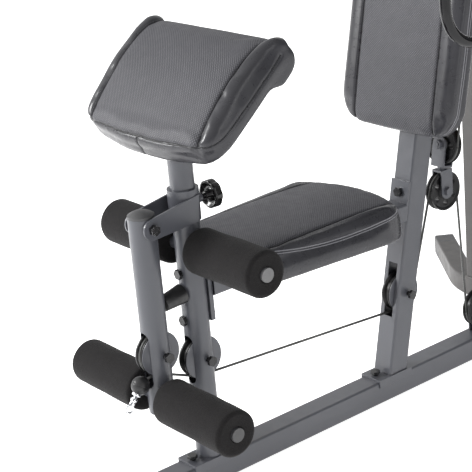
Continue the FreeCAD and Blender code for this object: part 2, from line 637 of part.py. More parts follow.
# ---------------------------------------------------------------- leg lever
def add_leg_lever():
    tube = pipe((0, LEVER_Y, LEVER_LOW), (0, LEVER_Y, LEVER_TOP), TUBE / 2, TUBE / 2 - WALL)
    y, z = LEVER_PULLEY
    dome = Part.makeSphere(40).common(rod((0, 0, 27), (0, 0, 45), 24.6))
    dome.translate(V(0, LEVER_Y, LEVER_TOP - 27))
    plug = rod((0, LEVER_Y, LEVER_TOP - 20), (0, LEVER_Y, LEVER_TOP + 3), TUBE / 2 - WALL)
    bush = rod((-TUBE / 2 + 0.5, PIVOT_Y, PIVOT_Z), (TUBE / 2 - 0.5, PIVOT_Y, PIVOT_Z), 10)
    cross = rod((-24, LOW_SPINDLE_Y, LOW_SPINDLE_Z), (24, LOW_SPINDLE_Y, LOW_SPINDLE_Z), SPINDLE_R + 3)
    bottom = rod((0, LEVER_Y, LEVER_LOW - 3), (0, LEVER_Y, LEVER_LOW), TUBE / 2 - 0.5)
    lever = fuse(tube, plug, dome, bush, cross.common(rod((0, LEVER_Y, 0), (0, LEVER_Y, 400), 24)), bottom)
    lever = cut(lever, round_slot(z - 62, z + 47))
    lever = cut(lever, rod((-60, y, z), (60, y, z), BOLT_R + 0.1))
    lever = cut(lever, rod((-60, PIVOT_Y, PIVOT_Z), (60, PIVOT_Y, PIVOT_Z), 6 + RUN_FIT))
    spindle = rod((-60, LOW_SPINDLE_Y, LOW_SPINDLE_Z), (60, LOW_SPINDLE_Y, LOW_SPINDLE_Z), SPINDLE_R)
    parts["leg_lever"] = cut(lever, spindle)
    out = FOAM_LOW_OUT
    parts["lower_spindle"] = pipe((-out, LOW_SPINDLE_Y, LOW_SPINDLE_Z), (out, LOW_SPINDLE_Y, LOW_SPINDLE_Z),
                                  SPINDLE_R, 10.5)
    parts["lower_spindle_caps"] = spindle_caps(LOW_SPINDLE_Y, LOW_SPINDLE_Z, out)
    discs = [cheek(y, z, 9.5, 11.5), cheek(y, z, -11.5, -9.5)]
    parts["lever_fittings"] = Part.makeCompound(discs + [bolt((34, y, z), (-26, y, z))])
    parts["pivot_bolt"] = bolt((31, PIVOT_Y, PIVOT_Z), (-31, PIVOT_Y, PIVOT_Z), 6, 1.7)

    ball = Part.makeSphere(STOP_R, V(0, STOP_Y, STOP_Z))
    hang = V(0, -math.sin(STOP_HANG), -math.cos(STOP_HANG))
    middle = V(0, STOP_Y, STOP_Z)
    ferrule = Part.makeCylinder(8, STOP_R + 3, middle, hang)
    neck = Part.makeCylinder(2.6, HOOK_FROM + 1, middle, hang)
    eye = rod((-3, *hook_pin()), (3, *hook_pin()), 6)
    pin = rod((-6.5, *hook_pin()), (6.5, *hook_pin()), 2.4)
    parts["low_cable_stop"] = fuse(ball, ferrule, neck, eye, pin)
    parts["low_snap_hook"] = snap_hook(hang)


def hook_pin():
    """(y, z) of the pin that the low snap hook swings on."""
    return (STOP_Y - HOOK_FROM * math.sin(STOP_HANG), STOP_Z - HOOK_FROM * math.cos(STOP_HANG))


def snap_hook(hang):
    """Shackle of two eyes on the pin, with a closed loop of wire below them."""
    y, z = hook_pin()
    eyes = [rod((x, y, z), (x + 2, y, z), 5) for x in (3.3, -5.3)]
    legs = [box(x, x + 2, -3.5, 3.5, 0, 12) for x in (3.3, -5.3)]
    bridge = box(-5.3, 5.3, -3.5, 3.5, 9.5, 12)
    loop = Part.makeTorus(8.5, 2, V(0, 0, 12 + 8.2), V(1, 0, 0))
    shackle = fuse(bridge, loop, *legs)
    shackle = lay(shackle, (0, y, z), (hang.x, hang.y, hang.z))
    bore = rod((-8, y, z), (8, y, z), 2.4 + RUN_FIT)
    return cut(fuse(shackle, *eyes), bore)


# ---------------------------------------------------------------- pulleys, cables and floating block
def high_route():
    """Corners of the high cable, from the lat pull-down hook to the weight stack."""
    side_y = LEAN_MID_Y + (LAT_TOP_Z - WRAP_R) * math.tan(LEAN) + WRAP_R
    rear_front_y = REAR_BAR_Y - 2 * WRAP_R
    lean = math.radians(BLOCK_LEAN_DEG)
    low_y = BLOCK_TOP_Y - WRAP_R * math.sin(lean)
    low_z = BLOCK_TOP_Z - WRAP_R * math.cos(lean)
    return [
        (0, LAT_Y - WRAP_R, LAT_BAR_Z + 97),
        (0, LAT_Y - WRAP_R, LAT_TOP_Z),
        (SIDE_X, side_y, LAT_TOP_Z),
        (SIDE_X, low_y, low_z),
        (-SIDE_X - 1.2, low_y, low_z),
        (0, rear_front_y, REAR_TOP_Z + WRAP_R),
        (0, REAR_BAR_Y, REAR_TOP_Z + WRAP_R),
        (0, REAR_BAR_Y, stack_top() + 32),
    ]


def stack_top():
    return STACK_LOW + PLATE_COUNT * PLATE_PITCH


def arc_centre(p, c, n, r):
    """Centre and axis of the arc of radius r that rounds corner c between p and n."""
    p, c, n = V(*p), V(*c), V(*n)
    a, b = (p - c).normalize(), (n - c).normalize()
    turn = math.pi - a.getAngle(b)
    centre = c + (a + b).normalize() * (r / math.cos(turn / 2))
    return centre, a.cross(b).normalize()


def side_pulley_place():
    """Centre and axis of the pulley beside the upright's top, with its axis towards +X."""
    centre, axis = arc_centre(*high_route()[1:4], WRAP_R)
    return (centre, axis) if axis.x > 0 else (centre, axis * -1)


def lat_pulley_place():
    centre, axis = arc_centre(*high_route()[0:3], WRAP_R)
    return (centre, axis) if axis.x > 0 else (centre, axis * -1)


def low_route():
    """Stations of the low cable in the x = 0 plane: (y, z, radius, way round)."""
    lever_y, lever_z = LEVER_PULLEY
    return [
        (LEVER_Y - TUBE / 2 - 0.3, lever_z - WRAP_R - 3, 0, 1),
        (lever_y, lever_z, WRAP_R, 1),
        (*POST_PULLEY, WRAP_R, 1),
        (*UPRIGHT_PULLEY, WRAP_R, 1),
        (*BLOCK_PULLEY, WRAP_R, -1),
        (*BASE_PULLEY, WRAP_R, 1),
        (ANCHOR_Y - 12.5, TUBE + 18, 0, 1),
    ]


def belt(stations):
    """Tangent runs and arcs round a list of stations, as one wire in the x = 0 plane."""
    edges = []
    last = None
    for i in range(len(stations) - 1):
        y1, z1, r1, s1 = stations[i]
        y2, z2, r2, s2 = stations[i + 1]
        d = math.hypot(y2 - y1, z2 - z1)
        a = math.atan2(z2 - z1, y2 - y1) - math.asin((s2 * r2 - s1 * r1) / d)
        ny, nz = -math.sin(a), math.cos(a)
        start = V(0, y1 - s1 * r1 * ny, z1 - s1 * r1 * nz)
        end = V(0, y2 - s2 * r2 * ny, z2 - s2 * r2 * nz)
        if last is not None:
            centre = V(0, y1, z1)
            a0 = math.atan2(last.z - z1, last.y - y1)
            a1 = math.atan2(start.z - z1, start.y - y1)
            sweep = (a1 - a0) % (2 * math.pi) if s1 > 0 else -((a0 - a1) % (2 * math.pi))
            mid = a0 + sweep / 2
            middle = centre + V(0, r1 * math.cos(mid), r1 * math.sin(mid))
            if abs(sweep) > 0.01:
                edges.append(Part.Arc(last, middle, start).toShape())
        edges.append(Part.LineSegment(start, end).toShape())
        last = end
    return Part.Wire(edges)


def add_cables():
    path = belt(low_route())
    first = path.Edges[0]
    start, way = first.valueAt(first.FirstParameter), first.tangentAt(first.FirstParameter)
    ring = Part.Wire(Part.makeCircle(CABLE_R, start, way))
    low = path.makePipeShell([ring], True, True)
    share = low.Volume / (math.pi * CABLE_R**2 * path.Length)
    print("low cable: length %.1f, volume share %.4f" % (path.Length, share))
    parts["low_cable"] = low
    parts["high_cable"] = swept_rod(high_route(), [WRAP_R] * 6, CABLE_R)


def add_pulleys():
    x_axis = (1, 0, 0)
    for name, spot in (("post_pulley", POST_PULLEY), ("lever_pulley", LEVER_PULLEY),
                       ("upright_pulley", UPRIGHT_PULLEY), ("block_lower_pulley", BLOCK_PULLEY),
                       ("base_pulley", BASE_PULLEY)):
        parts[name] = pulley((0, *spot), x_axis)
    parts["rear_top_pulley"] = pulley((0, REAR_BAR_Y - WRAP_R, REAR_TOP_Z), x_axis)
    parts["side_top_pulley"] = pulley(*side_pulley_place())
    parts["lat_front_pulley"] = pulley(*lat_pulley_place())
    lean = math.radians(BLOCK_LEAN_DEG)
    parts["block_upper_pulley"] = pulley((0, BLOCK_TOP_Y, BLOCK_TOP_Z), (0, math.cos(lean), -math.sin(lean)))

    discs = []
    for y, z in (POST_PULLEY, UPRIGHT_PULLEY):
        discs += [cheek(y, z, 9.5, 11.5), cheek(y, z, -11.5, -9.5)]
    parts["pulley_cheeks"] = Part.makeCompound(discs)


def fork(width, gap, hole_z):
    """U-shaped strap along +Z with its bridge at z = 0 and its bolt hole at hole_z."""
    legs = []
    for side in (-1, 1):
        x = side * (gap + 1.5)
        leg = box(x - 1.5, x + 1.5, -width / 2, width / 2, 0, hole_z)
        legs.append(fuse(leg, rod((x - 1.5, 0, hole_z), (x + 1.5, 0, hole_z), width / 2)))
    bridge = box(-gap - 3, gap + 3, -width / 2, width / 2, 0, 4)
    strap = fuse(bridge, *legs)
    axle = bolt((gap + 3, 0, hole_z), (-gap - 3, 0, hole_z))
    return strap.cut(rod((-60, 0, hole_z), (60, 0, hole_z), BOLT_R)), axle


def add_block():
    y, z = BLOCK_PULLEY
    joint_z = z + FORK_REACH
    lower, lower_axle = fork(32, 10.5, FORK_REACH)
    shapes = []
    for piece in (lower, lower_axle):
        piece = piece.copy()
        piece.rotate(V(0, 0, 0), V(1, 0, 0), 180)
        piece.translate(V(0, y, joint_z))
        shapes.append(piece)
    lean = math.radians(BLOCK_LEAN_DEG)
    foot = V(0, BLOCK_TOP_Y - FORK_REACH * math.sin(lean), BLOCK_TOP_Z - FORK_REACH * math.cos(lean))
    upper, upper_axle = fork(36, 10.5, FORK_REACH)
    for piece in (upper, upper_axle):
        piece = piece.copy()
        piece.rotate(V(0, 0, 0), V(0, 0, 1), 90)
        piece.rotate(V(0, 0, 0), V(1, 0, 0), -BLOCK_LEAN_DEG)
        piece.translate(foot)
        shapes.append(piece)
    link = rod((0, y, joint_z - 3), (0, y, foot.z + 2), 9)
    strap = fuse(shapes[0], shapes[2], link)
    parts["floating_block"] = Part.makeCompound([strap, shapes[1].cut(strap), shapes[3].cut(strap)])


# ---------------------------------------------------------------- weight stack
def stack_buffers():
    rings = []
    for side in (-1, 1):
        x = side * GUIDE_X
        rings.append(pipe((x, REAR_BAR_Y, TUBE + 8), (x, REAR_BAR_Y, STACK_LOW), 22, GUIDE_R + 0.05))
    return rings


def plate(z, thick=PLATE_T):
    slab = box(-PLATE_HALF_X, PLATE_HALF_X, REAR_BAR_Y - PLATE_HALF_Y, REAR_BAR_Y + PLATE_HALF_Y, z, z + thick)
    upright_edges = [e for e in slab.Edges if e.BoundBox.ZLength > thick / 2]
    slab = slab.makeFillet(8, upright_edges)
    for side in (-1, 1):
        x = side * GUIDE_X
        slab = slab.cut(rod((x, REAR_BAR_Y, z - 1), (x, REAR_BAR_Y, z + 40), GUIDE_R + 0.5))
    return slab.cut(rod((0, REAR_BAR_Y, z - 1), (0, REAR_BAR_Y, z + 40), 10.2))


def pin_hole(z, r):
    return rod((0, REAR_BAR_Y, z + PLATE_T / 2), (0, REAR_BAR_Y + 70, z + PLATE_T / 2), r)


def add_stack():
    fixed = PLATE_COUNT - PLATES_LIFTED
    levels = [STACK_LOW + i * PLATE_PITCH for i in range(PLATE_COUNT)]
    plates = [plate(z).cut(pin_hole(z, 4.3)) for z in levels[:-1]]
    parts["resting_plates"] = Part.makeCompound(plates[:fixed])
    parts["lifted_plates"] = Part.makeCompound(plates[fixed:])

    rod_low = STACK_LOW + 6
    selector = rod((0, REAR_BAR_Y, rod_low), (0, REAR_BAR_Y, stack_top() + 30), 9.5)
    for z in levels[:-1]:
        selector = selector.cut(rod((0, REAR_BAR_Y - 30, z + 11), (0, REAR_BAR_Y + 30, z + 11), 4.3))
    top = plate(levels[-1], PLATE_T).fuse(box(-12, 12, REAR_BAR_Y - 12, REAR_BAR_Y + 12,
                                              levels[-1] + PLATE_T, levels[-1] + PLATE_T + 6))
    parts["top_plate"] = fuse(top, selector)

    z = levels[fixed] + PLATE_T / 2
    pin_y = REAR_BAR_Y + PLATE_HALF_Y
    stem = rod((0, REAR_BAR_Y - 9, z), (0, pin_y + 4, z), 4.24)
    parts["selector_pin"] = fuse(stem, rod((0, pin_y + 2, z), (0, pin_y + 26, z), 11))


# ---------------------------------------------------------------- press and butterfly arms
def add_press_arm():
    hub = pipe((-28, PRESS_Y, PRESS_Z), (28, PRESS_Y, PRESS_Z), 22, 8 + RUN_FIT)
    boom = lay(square_tube(PRESS_Y - 18 - WING_Y), (0, WING_Y, PRESS_Z), (0, 1, 0))
    cross = lay(square_tube(2 * (WING_X - 20)), (-(WING_X - 20), WING_Y, PRESS_Z), (1, 0, 0))
    sleeves = []
    bores = []
    for side in (-1, 1):
        ends = ((side * WING_X, WING_Y, PRESS_Z - 50), (side * WING_X, WING_Y, PRESS_Z + 50))
        sleeves.append(rod(*ends, 27))
        bores.append(rod(*ends, SPINDLE_R + RUN_FIT))
    arm = fuse(cut(boom, rod((-40, PRESS_Y, PRESS_Z), (40, PRESS_Y, PRESS_Z), 20)), hub, cross, *sleeves)
    parts["press_arm"] = cut(arm, *bores)


def add_butterfly_arm(side, name):
    x, far = side * WING_X, side * ARM_X
    pin = rod((x, WING_Y, ARM_Z), (x, WING_Y, PRESS_Z + 56), SPINDLE_R)
    head = rod((x, WING_Y, PRESS_Z + 50.5), (x, WING_Y, PRESS_Z + 57), 20)
    knee = [(x, WING_Y, ARM_Z), (far, ARM_Y, ARM_Z), (far, ARM_Y, HANDLE_LOW - 25)]
    tube = swept_tube(knee, [70], ARM_R, ARM_R - WALL)
    knuckle = rod((x, WING_Y, ARM_Z - 24), (x, WING_Y, PRESS_Z - 50.5), 24)
    collars = [rod((far, ARM_Y, z), (far, ARM_Y, z + 5), 26) for z in (1082, 1372)]
    arm = fuse(tube, pin, head, knuckle, *collars)
    parts["butterfly_arm_" + name] = arm
    pad = rod((far, ARM_Y, 1087.3), (far, ARM_Y, 1371.7), 46)
    rims = [e for e in pad.Edges if isinstance(e.Curve, Part.Circle)]
    pad = pad.makeFillet(9, rims)
    parts["arm_pad_" + name] = pad.cut(rod((far, ARM_Y, 1000), (far, ARM_Y, 1400), ARM_R + RUN_FIT))
    route = [(far, ARM_Y - 10, HANDLE_LOW), (far, HANDLE_Y, HANDLE_LOW), (far, HANDLE_Y, HANDLE_HIGH),
             (far, ARM_Y - 10, HANDLE_HIGH)]
    handle = swept_rod(route, [72, 72], HANDLE_R)
    parts["handle_" + name] = handle.cut(rod((far, ARM_Y, 700), (far, ARM_Y, 1200), ARM_R))
    if side < 0:
        for node in ("butterfly_arm_", "arm_pad_", "handle_"):
            parts[node + name].rotate(V(x, WING_Y, 0), V(0, 0, 1), -ARM_OPEN_DEG)


# ---------------------------------------------------------------- lat pull-down
def add_lat_bar():
    y = LAT_Y - WRAP_R
    top = LAT_BAR_Z + 96
    ball = Part.makeSphere(16, V(0, y, top - 16))
    shank = rod((0, y, top - 46), (0, y, top - 20), 5)
    ring = Part.makeTorus(15, 3.5, V(0, y, top - 58), V(1, 0, 0))
    parts["lat_hook"] = fuse(ball, shank, ring)
    route = [(-470, y, LAT_BAR_Z - 62), (-330, y, LAT_BAR_Z), (330, y, LAT_BAR_Z), (470, y, LAT_BAR_Z - 62)]
    bar = swept_rod(route, [120, 120], 14)
    lug = rod((0, y - 3, LAT_BAR_Z + 21), (0, y + 3, LAT_BAR_Z + 21), 13)
    lug = fuse(lug, box(-13, 13, y - 3, y + 3, LAT_BAR_Z, LAT_BAR_Z + 21))
    lug = lug.cut(rod((0, y - 5, LAT_SWING_Z), (0, y + 5, LAT_SWING_Z), 5.6))
    parts["lat_bar"] = fuse(bar, lug)


# ---------------------------------------------------------------- bolts of the frame
def add_frame_bolts():
    bolts = []
    for y, z in (POST_PULLEY, UPRIGHT_PULLEY):
        bolts.append(bolt((33, y, z), (-26, y, z)))
    y, z = BASE_PULLEY
    bolts.append(bolt((15, y, z), (-14, y, z)))
    centre, axis = lat_pulley_place()
    bolts.append(bolt(centre + axis * 14, centre - axis * 14))
    bolts.append(bolt((14, REAR_BAR_Y - WRAP_R, REAR_TOP_Z), (-14, REAR_BAR_Y - WRAP_R, REAR_TOP_Z)))
    centre, axis = side_pulley_place()
    bolts.append(bolt(centre + axis * 10, centre - axis * (SIDE_X + 27)))
    for height in (430, 338):
        bolts.append(bolt((0, -26, height), (0, 32, height)))
    for y in (-41, lean_y(TUBE) - 17):
        bolts.append(bolt((0, y, TUBE + 9), (0, y, TUBE + 5.1), nut=False))
    foot = lean_y(432)
    head, end = [(0, foot - t, 432 + t * math.tan(LEAN)) for t in (6, 5.5)]
    bolts.append(bolt(head, end, nut=False))
    bolts.append(bolt((35, PRESS_Y, PRESS_Z), (-35, PRESS_Y, PRESS_Z), 8, 1.7))
    parts["frame_bolts"] = Part.makeCompound(bolts)


def export_all():
    spread = Part.makeCompound(list(parts.values())).BoundBox
    mid_y = (spread.YMin + spread.YMax) / 2
    os.makedirs("parts", exist_ok=True)
    for name, shape in parts.items():
        shape = shape.copy()
        shape.translate(V(0, -mid_y, 0))
        shape.exportStep("parts/" + name + ".step")
    print("nodes", len(parts), "shift", -mid_y, "box", spread)


add_floor_frame()
add_rear_frame()
add_main_upright()
add_front_post()
add_seat()
add_preacher()
add_leg_lever()
for half, foam_side in ((1, "left"), (-1, "right")):
    inner = half * FOAM_IN
    lower = foam(LOW_SPINDLE_Y, LOW_SPINDLE_Z, inner, half * FOAM_LOW_OUT)
    upper = foam(HIGH_SPINDLE_Y, HIGH_SPINDLE_Z, inner, half * FOAM_HIGH_OUT)
    parts["lower_roller_" + foam_side] = lower
    parts["upper_roller_" + foam_side] = upper
add_cables()
add_pulleys()
add_block()
add_stack()
add_press_arm()
add_butterfly_arm(1, "left")
add_butterfly_arm(-1, "right")
add_lat_bar()
add_frame_bolts()
export_all()
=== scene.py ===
"""Looks of a multi station home gym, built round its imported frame. Lengths are in metres."""
import json
import math

import bmesh
import bpy
from mathutils import Matrix, Vector, noise


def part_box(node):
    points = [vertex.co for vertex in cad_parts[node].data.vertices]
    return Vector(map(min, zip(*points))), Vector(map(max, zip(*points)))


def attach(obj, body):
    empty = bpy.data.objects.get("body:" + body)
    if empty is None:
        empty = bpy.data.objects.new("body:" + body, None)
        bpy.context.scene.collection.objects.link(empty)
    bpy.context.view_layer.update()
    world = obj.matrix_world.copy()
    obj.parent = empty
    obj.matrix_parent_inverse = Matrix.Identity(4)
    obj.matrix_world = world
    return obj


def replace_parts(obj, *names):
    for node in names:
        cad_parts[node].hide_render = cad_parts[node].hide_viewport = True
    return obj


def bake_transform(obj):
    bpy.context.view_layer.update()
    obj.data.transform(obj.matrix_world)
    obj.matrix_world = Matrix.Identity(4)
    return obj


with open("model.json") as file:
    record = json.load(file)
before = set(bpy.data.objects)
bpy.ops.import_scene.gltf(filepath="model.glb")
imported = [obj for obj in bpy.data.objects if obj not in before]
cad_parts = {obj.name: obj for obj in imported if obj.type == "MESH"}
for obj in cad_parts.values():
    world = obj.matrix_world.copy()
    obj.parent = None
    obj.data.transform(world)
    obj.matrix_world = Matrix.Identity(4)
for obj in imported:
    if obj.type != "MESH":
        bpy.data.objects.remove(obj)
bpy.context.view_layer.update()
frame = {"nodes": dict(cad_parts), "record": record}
nodes = frame["nodes"]


def centre(node):
    low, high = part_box(node)
    return (low + high) / 2


POST_Y = centre("front_post").y      # the machine is set out from the front post's axis
X_AXIS = Vector((1, 0, 0))
Z_AXIS = Vector((0, 0, 1))
WRAP = 0.039                         # middle of a cable where it lies in a pulley
CABLE_R = 0.0025
ROLLER_R, ROLLER_BORE = 0.043, 0.01256       # foam rollers on the lever's spindles
ARM_PAD_R, ARM_PAD_BORE = 0.046, 0.01906     # foam pads on the butterfly arms
LEAN = math.radians(12.18)           # the main upright leans back
PAD_TILT = math.radians(40)          # slope of the preacher pad
HOOK_LEAN = math.radians(38)         # the low cable's hook hangs forwards


def at(x, y, z):
    """A place given in millimetres from the foot of the front post."""
    return Vector((x / 1000, POST_Y + y / 1000, z / 1000))


# ---------------------------------------------------------------- camera, light and floor
SKY_BRIGHT = Vector((-0.62, -0.62, 0.48)).normalized()      # the bright side of the studio
SKY_RANGE = (0.0, 1.30)


def look_matrix(place, yaw, pitch, roll):
    """Camera matrix: yaw turns from +Y towards -X, pitch looks down, roll turns the view."""
    ahead = Vector((-math.sin(yaw) * math.cos(pitch), math.cos(yaw) * math.cos(pitch), -math.sin(pitch)))
    right = Vector((math.cos(yaw), math.sin(yaw), 0))
    up = right.cross(ahead)
    turned_right = right * math.cos(roll) + up * math.sin(roll)
    turned_up = up * math.cos(roll) - right * math.sin(roll)
    rows = Matrix((turned_right, turned_up, -ahead)).transposed()
    return Matrix.Translation(place) @ rows.to_4x4()


def add_camera():
    data = bpy.data.cameras.new("camera")
    data.lens = 110.72
    data.sensor_width = 36
    camera = bpy.data.objects.new("camera", data)
    bpy.context.scene.collection.objects.link(camera)
    camera.matrix_world = look_matrix(
        at(2019.1, -1422.2, 1388.05), math.radians(52.809), math.radians(20.0425), math.radians(-5.2057))
    bpy.context.scene.camera = camera


def add_area(name, place, target, size, watts):
    data = bpy.data.lights.new(name, "AREA")
    data.shape = "RECTANGLE"
    data.size, data.size_y = size
    data.energy = watts
    lamp = bpy.data.objects.new(name, data)
    bpy.context.scene.collection.objects.link(lamp)
    lamp.location = place
    lamp.rotation_euler = (target - place).to_track_quat("-Z", "Y").to_euler()


def add_studio():
    world = bpy.data.worlds.new("studio")
    world.use_nodes = True
    tree = world.node_tree
    background = tree.nodes["Background"]
    background.inputs["Color"].default_value = (1, 1, 1, 1)
    towards = tree.nodes.new("ShaderNodeVectorMath")
    towards.operation = "DOT_PRODUCT"
    towards.inputs[1].default_value = SKY_BRIGHT
    tree.links.new(tree.nodes.new("ShaderNodeTexCoord").outputs["Generated"], towards.inputs[0])
    sky = tree.nodes.new("ShaderNodeMapRange")
    for socket, number in zip(sky.inputs[1:5], (-1, 1, *SKY_RANGE)):
        socket.default_value = number
    tree.links.new(towards.outputs["Value"], sky.inputs[0])
    tree.links.new(sky.outputs[0], background.inputs["Strength"])
    bpy.context.scene.world = world
    bpy.context.scene.view_settings.view_transform = "Standard"
    middle = at(0, 300, 600)
    add_area("key", at(-2300, -2300, 2000), middle, (1.2, 1.2), 120)
    add_area("side", at(2900, 200, 1500), middle, (0.5, 2.2), 14)
    add_area("rim", at(-900, 2800, 2500), middle, (2.0, 1.2), 16)

    size = 9.0
    mesh = bpy.data.meshes.new("floor")
    corners = [(-size, -size, 0), (size, -size, 0), (size, size, 0), (-size, size, 0)]
    mesh.from_pydata(corners, [], [(0, 1, 2, 3)])
    floor = bpy.data.objects.new("floor", mesh)
    bpy.context.scene.collection.objects.link(floor)
    floor.location.z = -0.0005
    coat = Coat("floor_paper", rough=0.9)
    coat.colour((0.93, 0.93, 0.935), (0.97, 0.97, 0.97), coat.noise(2))
    coat.shader.inputs["Emission Color"].default_value = (1, 1, 1, 1)
    coat.shader.inputs["Emission Strength"].default_value = 0.75
    floor.data.materials.append(coat.material)


# ---------------------------------------------------------------- materials
class Coat:
    """A principled material fed by procedural nodes in the frame's own coordinates."""

    def __init__(self, name, rough, metallic=0.0):
        self.material = bpy.data.materials.new(name)
        self.material.use_nodes = True
        self.tree = self.material.node_tree
        self.shader = self.tree.nodes["Principled BSDF"]
        self.shader.inputs["Metallic"].default_value = metallic
        self.shader.inputs["Roughness"].default_value = rough
        self.rough = rough
        self.coords = self.node("ShaderNodeTexCoord").outputs["Object"]
        self.normal = None

    def node(self, kind, **values):
        made = self.tree.nodes.new(kind)
        for key, value in values.items():
            setattr(made, key, value)
        return made

    def link(self, source, target):
        self.tree.links.new(source, target)

    def stretched(self, scale):
        mapping = self.node("ShaderNodeMapping")
        mapping.inputs["Scale"].default_value = scale
        self.link(self.coords, mapping.inputs["Vector"])
        return mapping.outputs["Vector"]

    def noise(self, scale, detail=2.0, coords=None):
        made = self.node("ShaderNodeTexNoise")
        made.inputs["Scale"].default_value = scale
        made.inputs["Detail"].default_value = detail
        self.link(coords or self.coords, made.inputs["Vector"])
        return made.outputs["Fac"]

    def cells(self, scale, feature="F1"):
        made = self.node("ShaderNodeTexVoronoi", feature=feature)
        made.inputs["Scale"].default_value = scale
        self.link(self.coords, made.inputs["Vector"])
        return made.outputs["Distance"]

    def attribute(self, name, output="Fac"):
        return self.node("ShaderNodeAttribute", attribute_name=name).outputs[output]

    def math(self, operation, *values):
        made = self.node("ShaderNodeMath", operation=operation)
        for socket, value in zip(made.inputs, values):
            if isinstance(value, (int, float)):
                socket.default_value = value
            else:
                self.link(value, socket)
        return made.outputs[0]

    def span(self, value, low, high, to_low=0.0, to_high=1.0):
        """Value from low..high onto to_low..to_high, held at both ends."""
        made = self.node("ShaderNodeMapRange", interpolation_type="SMOOTHSTEP")
        for socket, number in zip(made.inputs[1:5], (low, high, to_low, to_high)):
            socket.default_value = number
        self.link(value, made.inputs[0])
        return made.outputs[0]

    def blend(self, factor, first, second):
        made = self.node("ShaderNodeMix", data_type="RGBA")
        self.link(factor, made.inputs[0])
        for socket, value in ((made.inputs[6], first), (made.inputs[7], second)):
            if isinstance(value, tuple):
                socket.default_value = (*value, 1)
            else:
                self.link(value, socket)
        return made.outputs[2]

    def colour(self, dark, light, factor):
        mixed = self.blend(self.span(factor, 0.3, 0.7), dark, light)
        self.link(mixed, self.shader.inputs["Base Color"])
        return mixed

    def roughness(self, factor, spread):
        value = self.span(factor, 0.3, 0.7, self.rough - spread, self.rough + spread)
        self.link(value, self.shader.inputs["Roughness"])

    def bump(self, height, depth, strength=1.0):
        """Adds relief; depth is what a height of 1 stands for, in metres."""
        made = self.node("ShaderNodeBump")
        made.inputs["Distance"].default_value = depth
        made.inputs["Strength"].default_value = strength
        self.link(height, made.inputs["Height"])
        if self.normal is not None:
            self.link(self.normal, made.inputs["Normal"])
        self.normal = made.outputs["Normal"]
        self.link(self.normal, self.shader.inputs["Normal"])

    def soft_edges(self, radius):
        """Lets light run round the sharp edges of sheet metal and moulded parts."""
        made = self.node("ShaderNodeBevel", samples=4)
        made.inputs["Radius"].default_value = radius
        self.normal = made.outputs["Normal"]
        self.link(self.normal, self.shader.inputs["Normal"])


def shades(colour, spread):
    return tuple(c * (1 - spread) for c in colour), tuple(c * (1 + spread) for c in colour)


def powder_coat(name, colour, rough, peel=0.00006, edge=0.0007, shine=0.5):
    coat = Coat(name, rough)
    coat.shader.inputs["Specular IOR Level"].default_value = shine
    coat.colour(*shades(colour, 0.05), coat.noise(5, 4))
    coat.roughness(coat.noise(45, 3), 0.05)
    coat.soft_edges(edge)
    coat.bump(coat.noise(420, 2), peel)
    coat.bump(coat.noise(1500, 1), peel * 0.4)
    coat.shader.inputs["Coat Weight"].default_value = 0.1 * shine
    coat.shader.inputs["Coat Roughness"].default_value = 0.25
    return coat.material


def moulded(name, colour, rough, grain=0.00005, shine=0.5):
    coat = Coat(name, rough)
    coat.shader.inputs["Specular IOR Level"].default_value = shine
    coat.colour(*shades(colour, 0.08), coat.noise(30, 4))
    coat.roughness(coat.noise(90, 3), 0.07)
    coat.soft_edges(0.0006)
    coat.bump(coat.cells(1400), grain)
    return coat.material


def rubber(name, colour, rough):
    coat = Coat(name, rough)
    coat.colour(*shades(colour, 0.15), coat.noise(60, 5))
    coat.roughness(coat.noise(140, 3), 0.08)
    coat.bump(coat.noise(900, 3), 0.00006)
    return coat.material


def foam_skin():
    coat = Coat("foam_skin", 0.93)
    coat.colour((0.0065, 0.006, 0.0063), (0.0135, 0.0122, 0.0126), coat.noise(500, 4))
    coat.bump(coat.noise(55, 3), 0.0006)
    coat.bump(coat.cells(1100), 0.00035)
    coat.bump(coat.noise(2400, 2), 0.00015)
    coat.shader.inputs["Specular IOR Level"].default_value = 0.22
    coat.shader.inputs["Sheen Weight"].default_value = 0.04
    coat.shader.inputs["Sheen Roughness"].default_value = 0.5
    return coat.material


def polished(name, colour, rough, edge=0.0004):
    coat = Coat(name, rough, metallic=1.0)
    coat.colour(*shades(colour, 0.04), coat.noise(40, 4))
    coat.roughness(coat.noise(160, 4), min(rough * 0.6, 0.06))
    coat.soft_edges(edge)
    coat.bump(coat.noise(600, 2), 0.00001)
    return coat.material


def cable_skin():
    """Clear-coated steel strand: fine turns show through the plastic."""
    coat = Coat("cable_skin", 0.32)
    turns = coat.noise(900, 2)
    coat.colour((0.035, 0.036, 0.036), (0.085, 0.086, 0.083), turns)
    coat.bump(turns, 0.0002)
    return coat.material


def plywood():
    coat = Coat("plywood", 0.7)
    grain = coat.noise(1, 6, coat.stretched((260, 14, 120)))
    coat.colour((0.30, 0.19, 0.10), (0.50, 0.36, 0.21), grain)
    coat.bump(grain, 0.0002)
    return coat.material


def cast_plate():
    coat = Coat("cast_plate", 0.5)
    coat.colour((0.018, 0.018, 0.019), (0.034, 0.034, 0.036), coat.noise(25, 5))
    coat.roughness(coat.noise(120, 4), 0.1)
    coat.soft_edges(0.001)
    coat.bump(coat.noise(330, 4), 0.0003)
    return coat.material


DOT_PITCH = 0.0052      # pitch of the cushions' embossed dots
STITCH = 0.0042         # one stitch and its gap


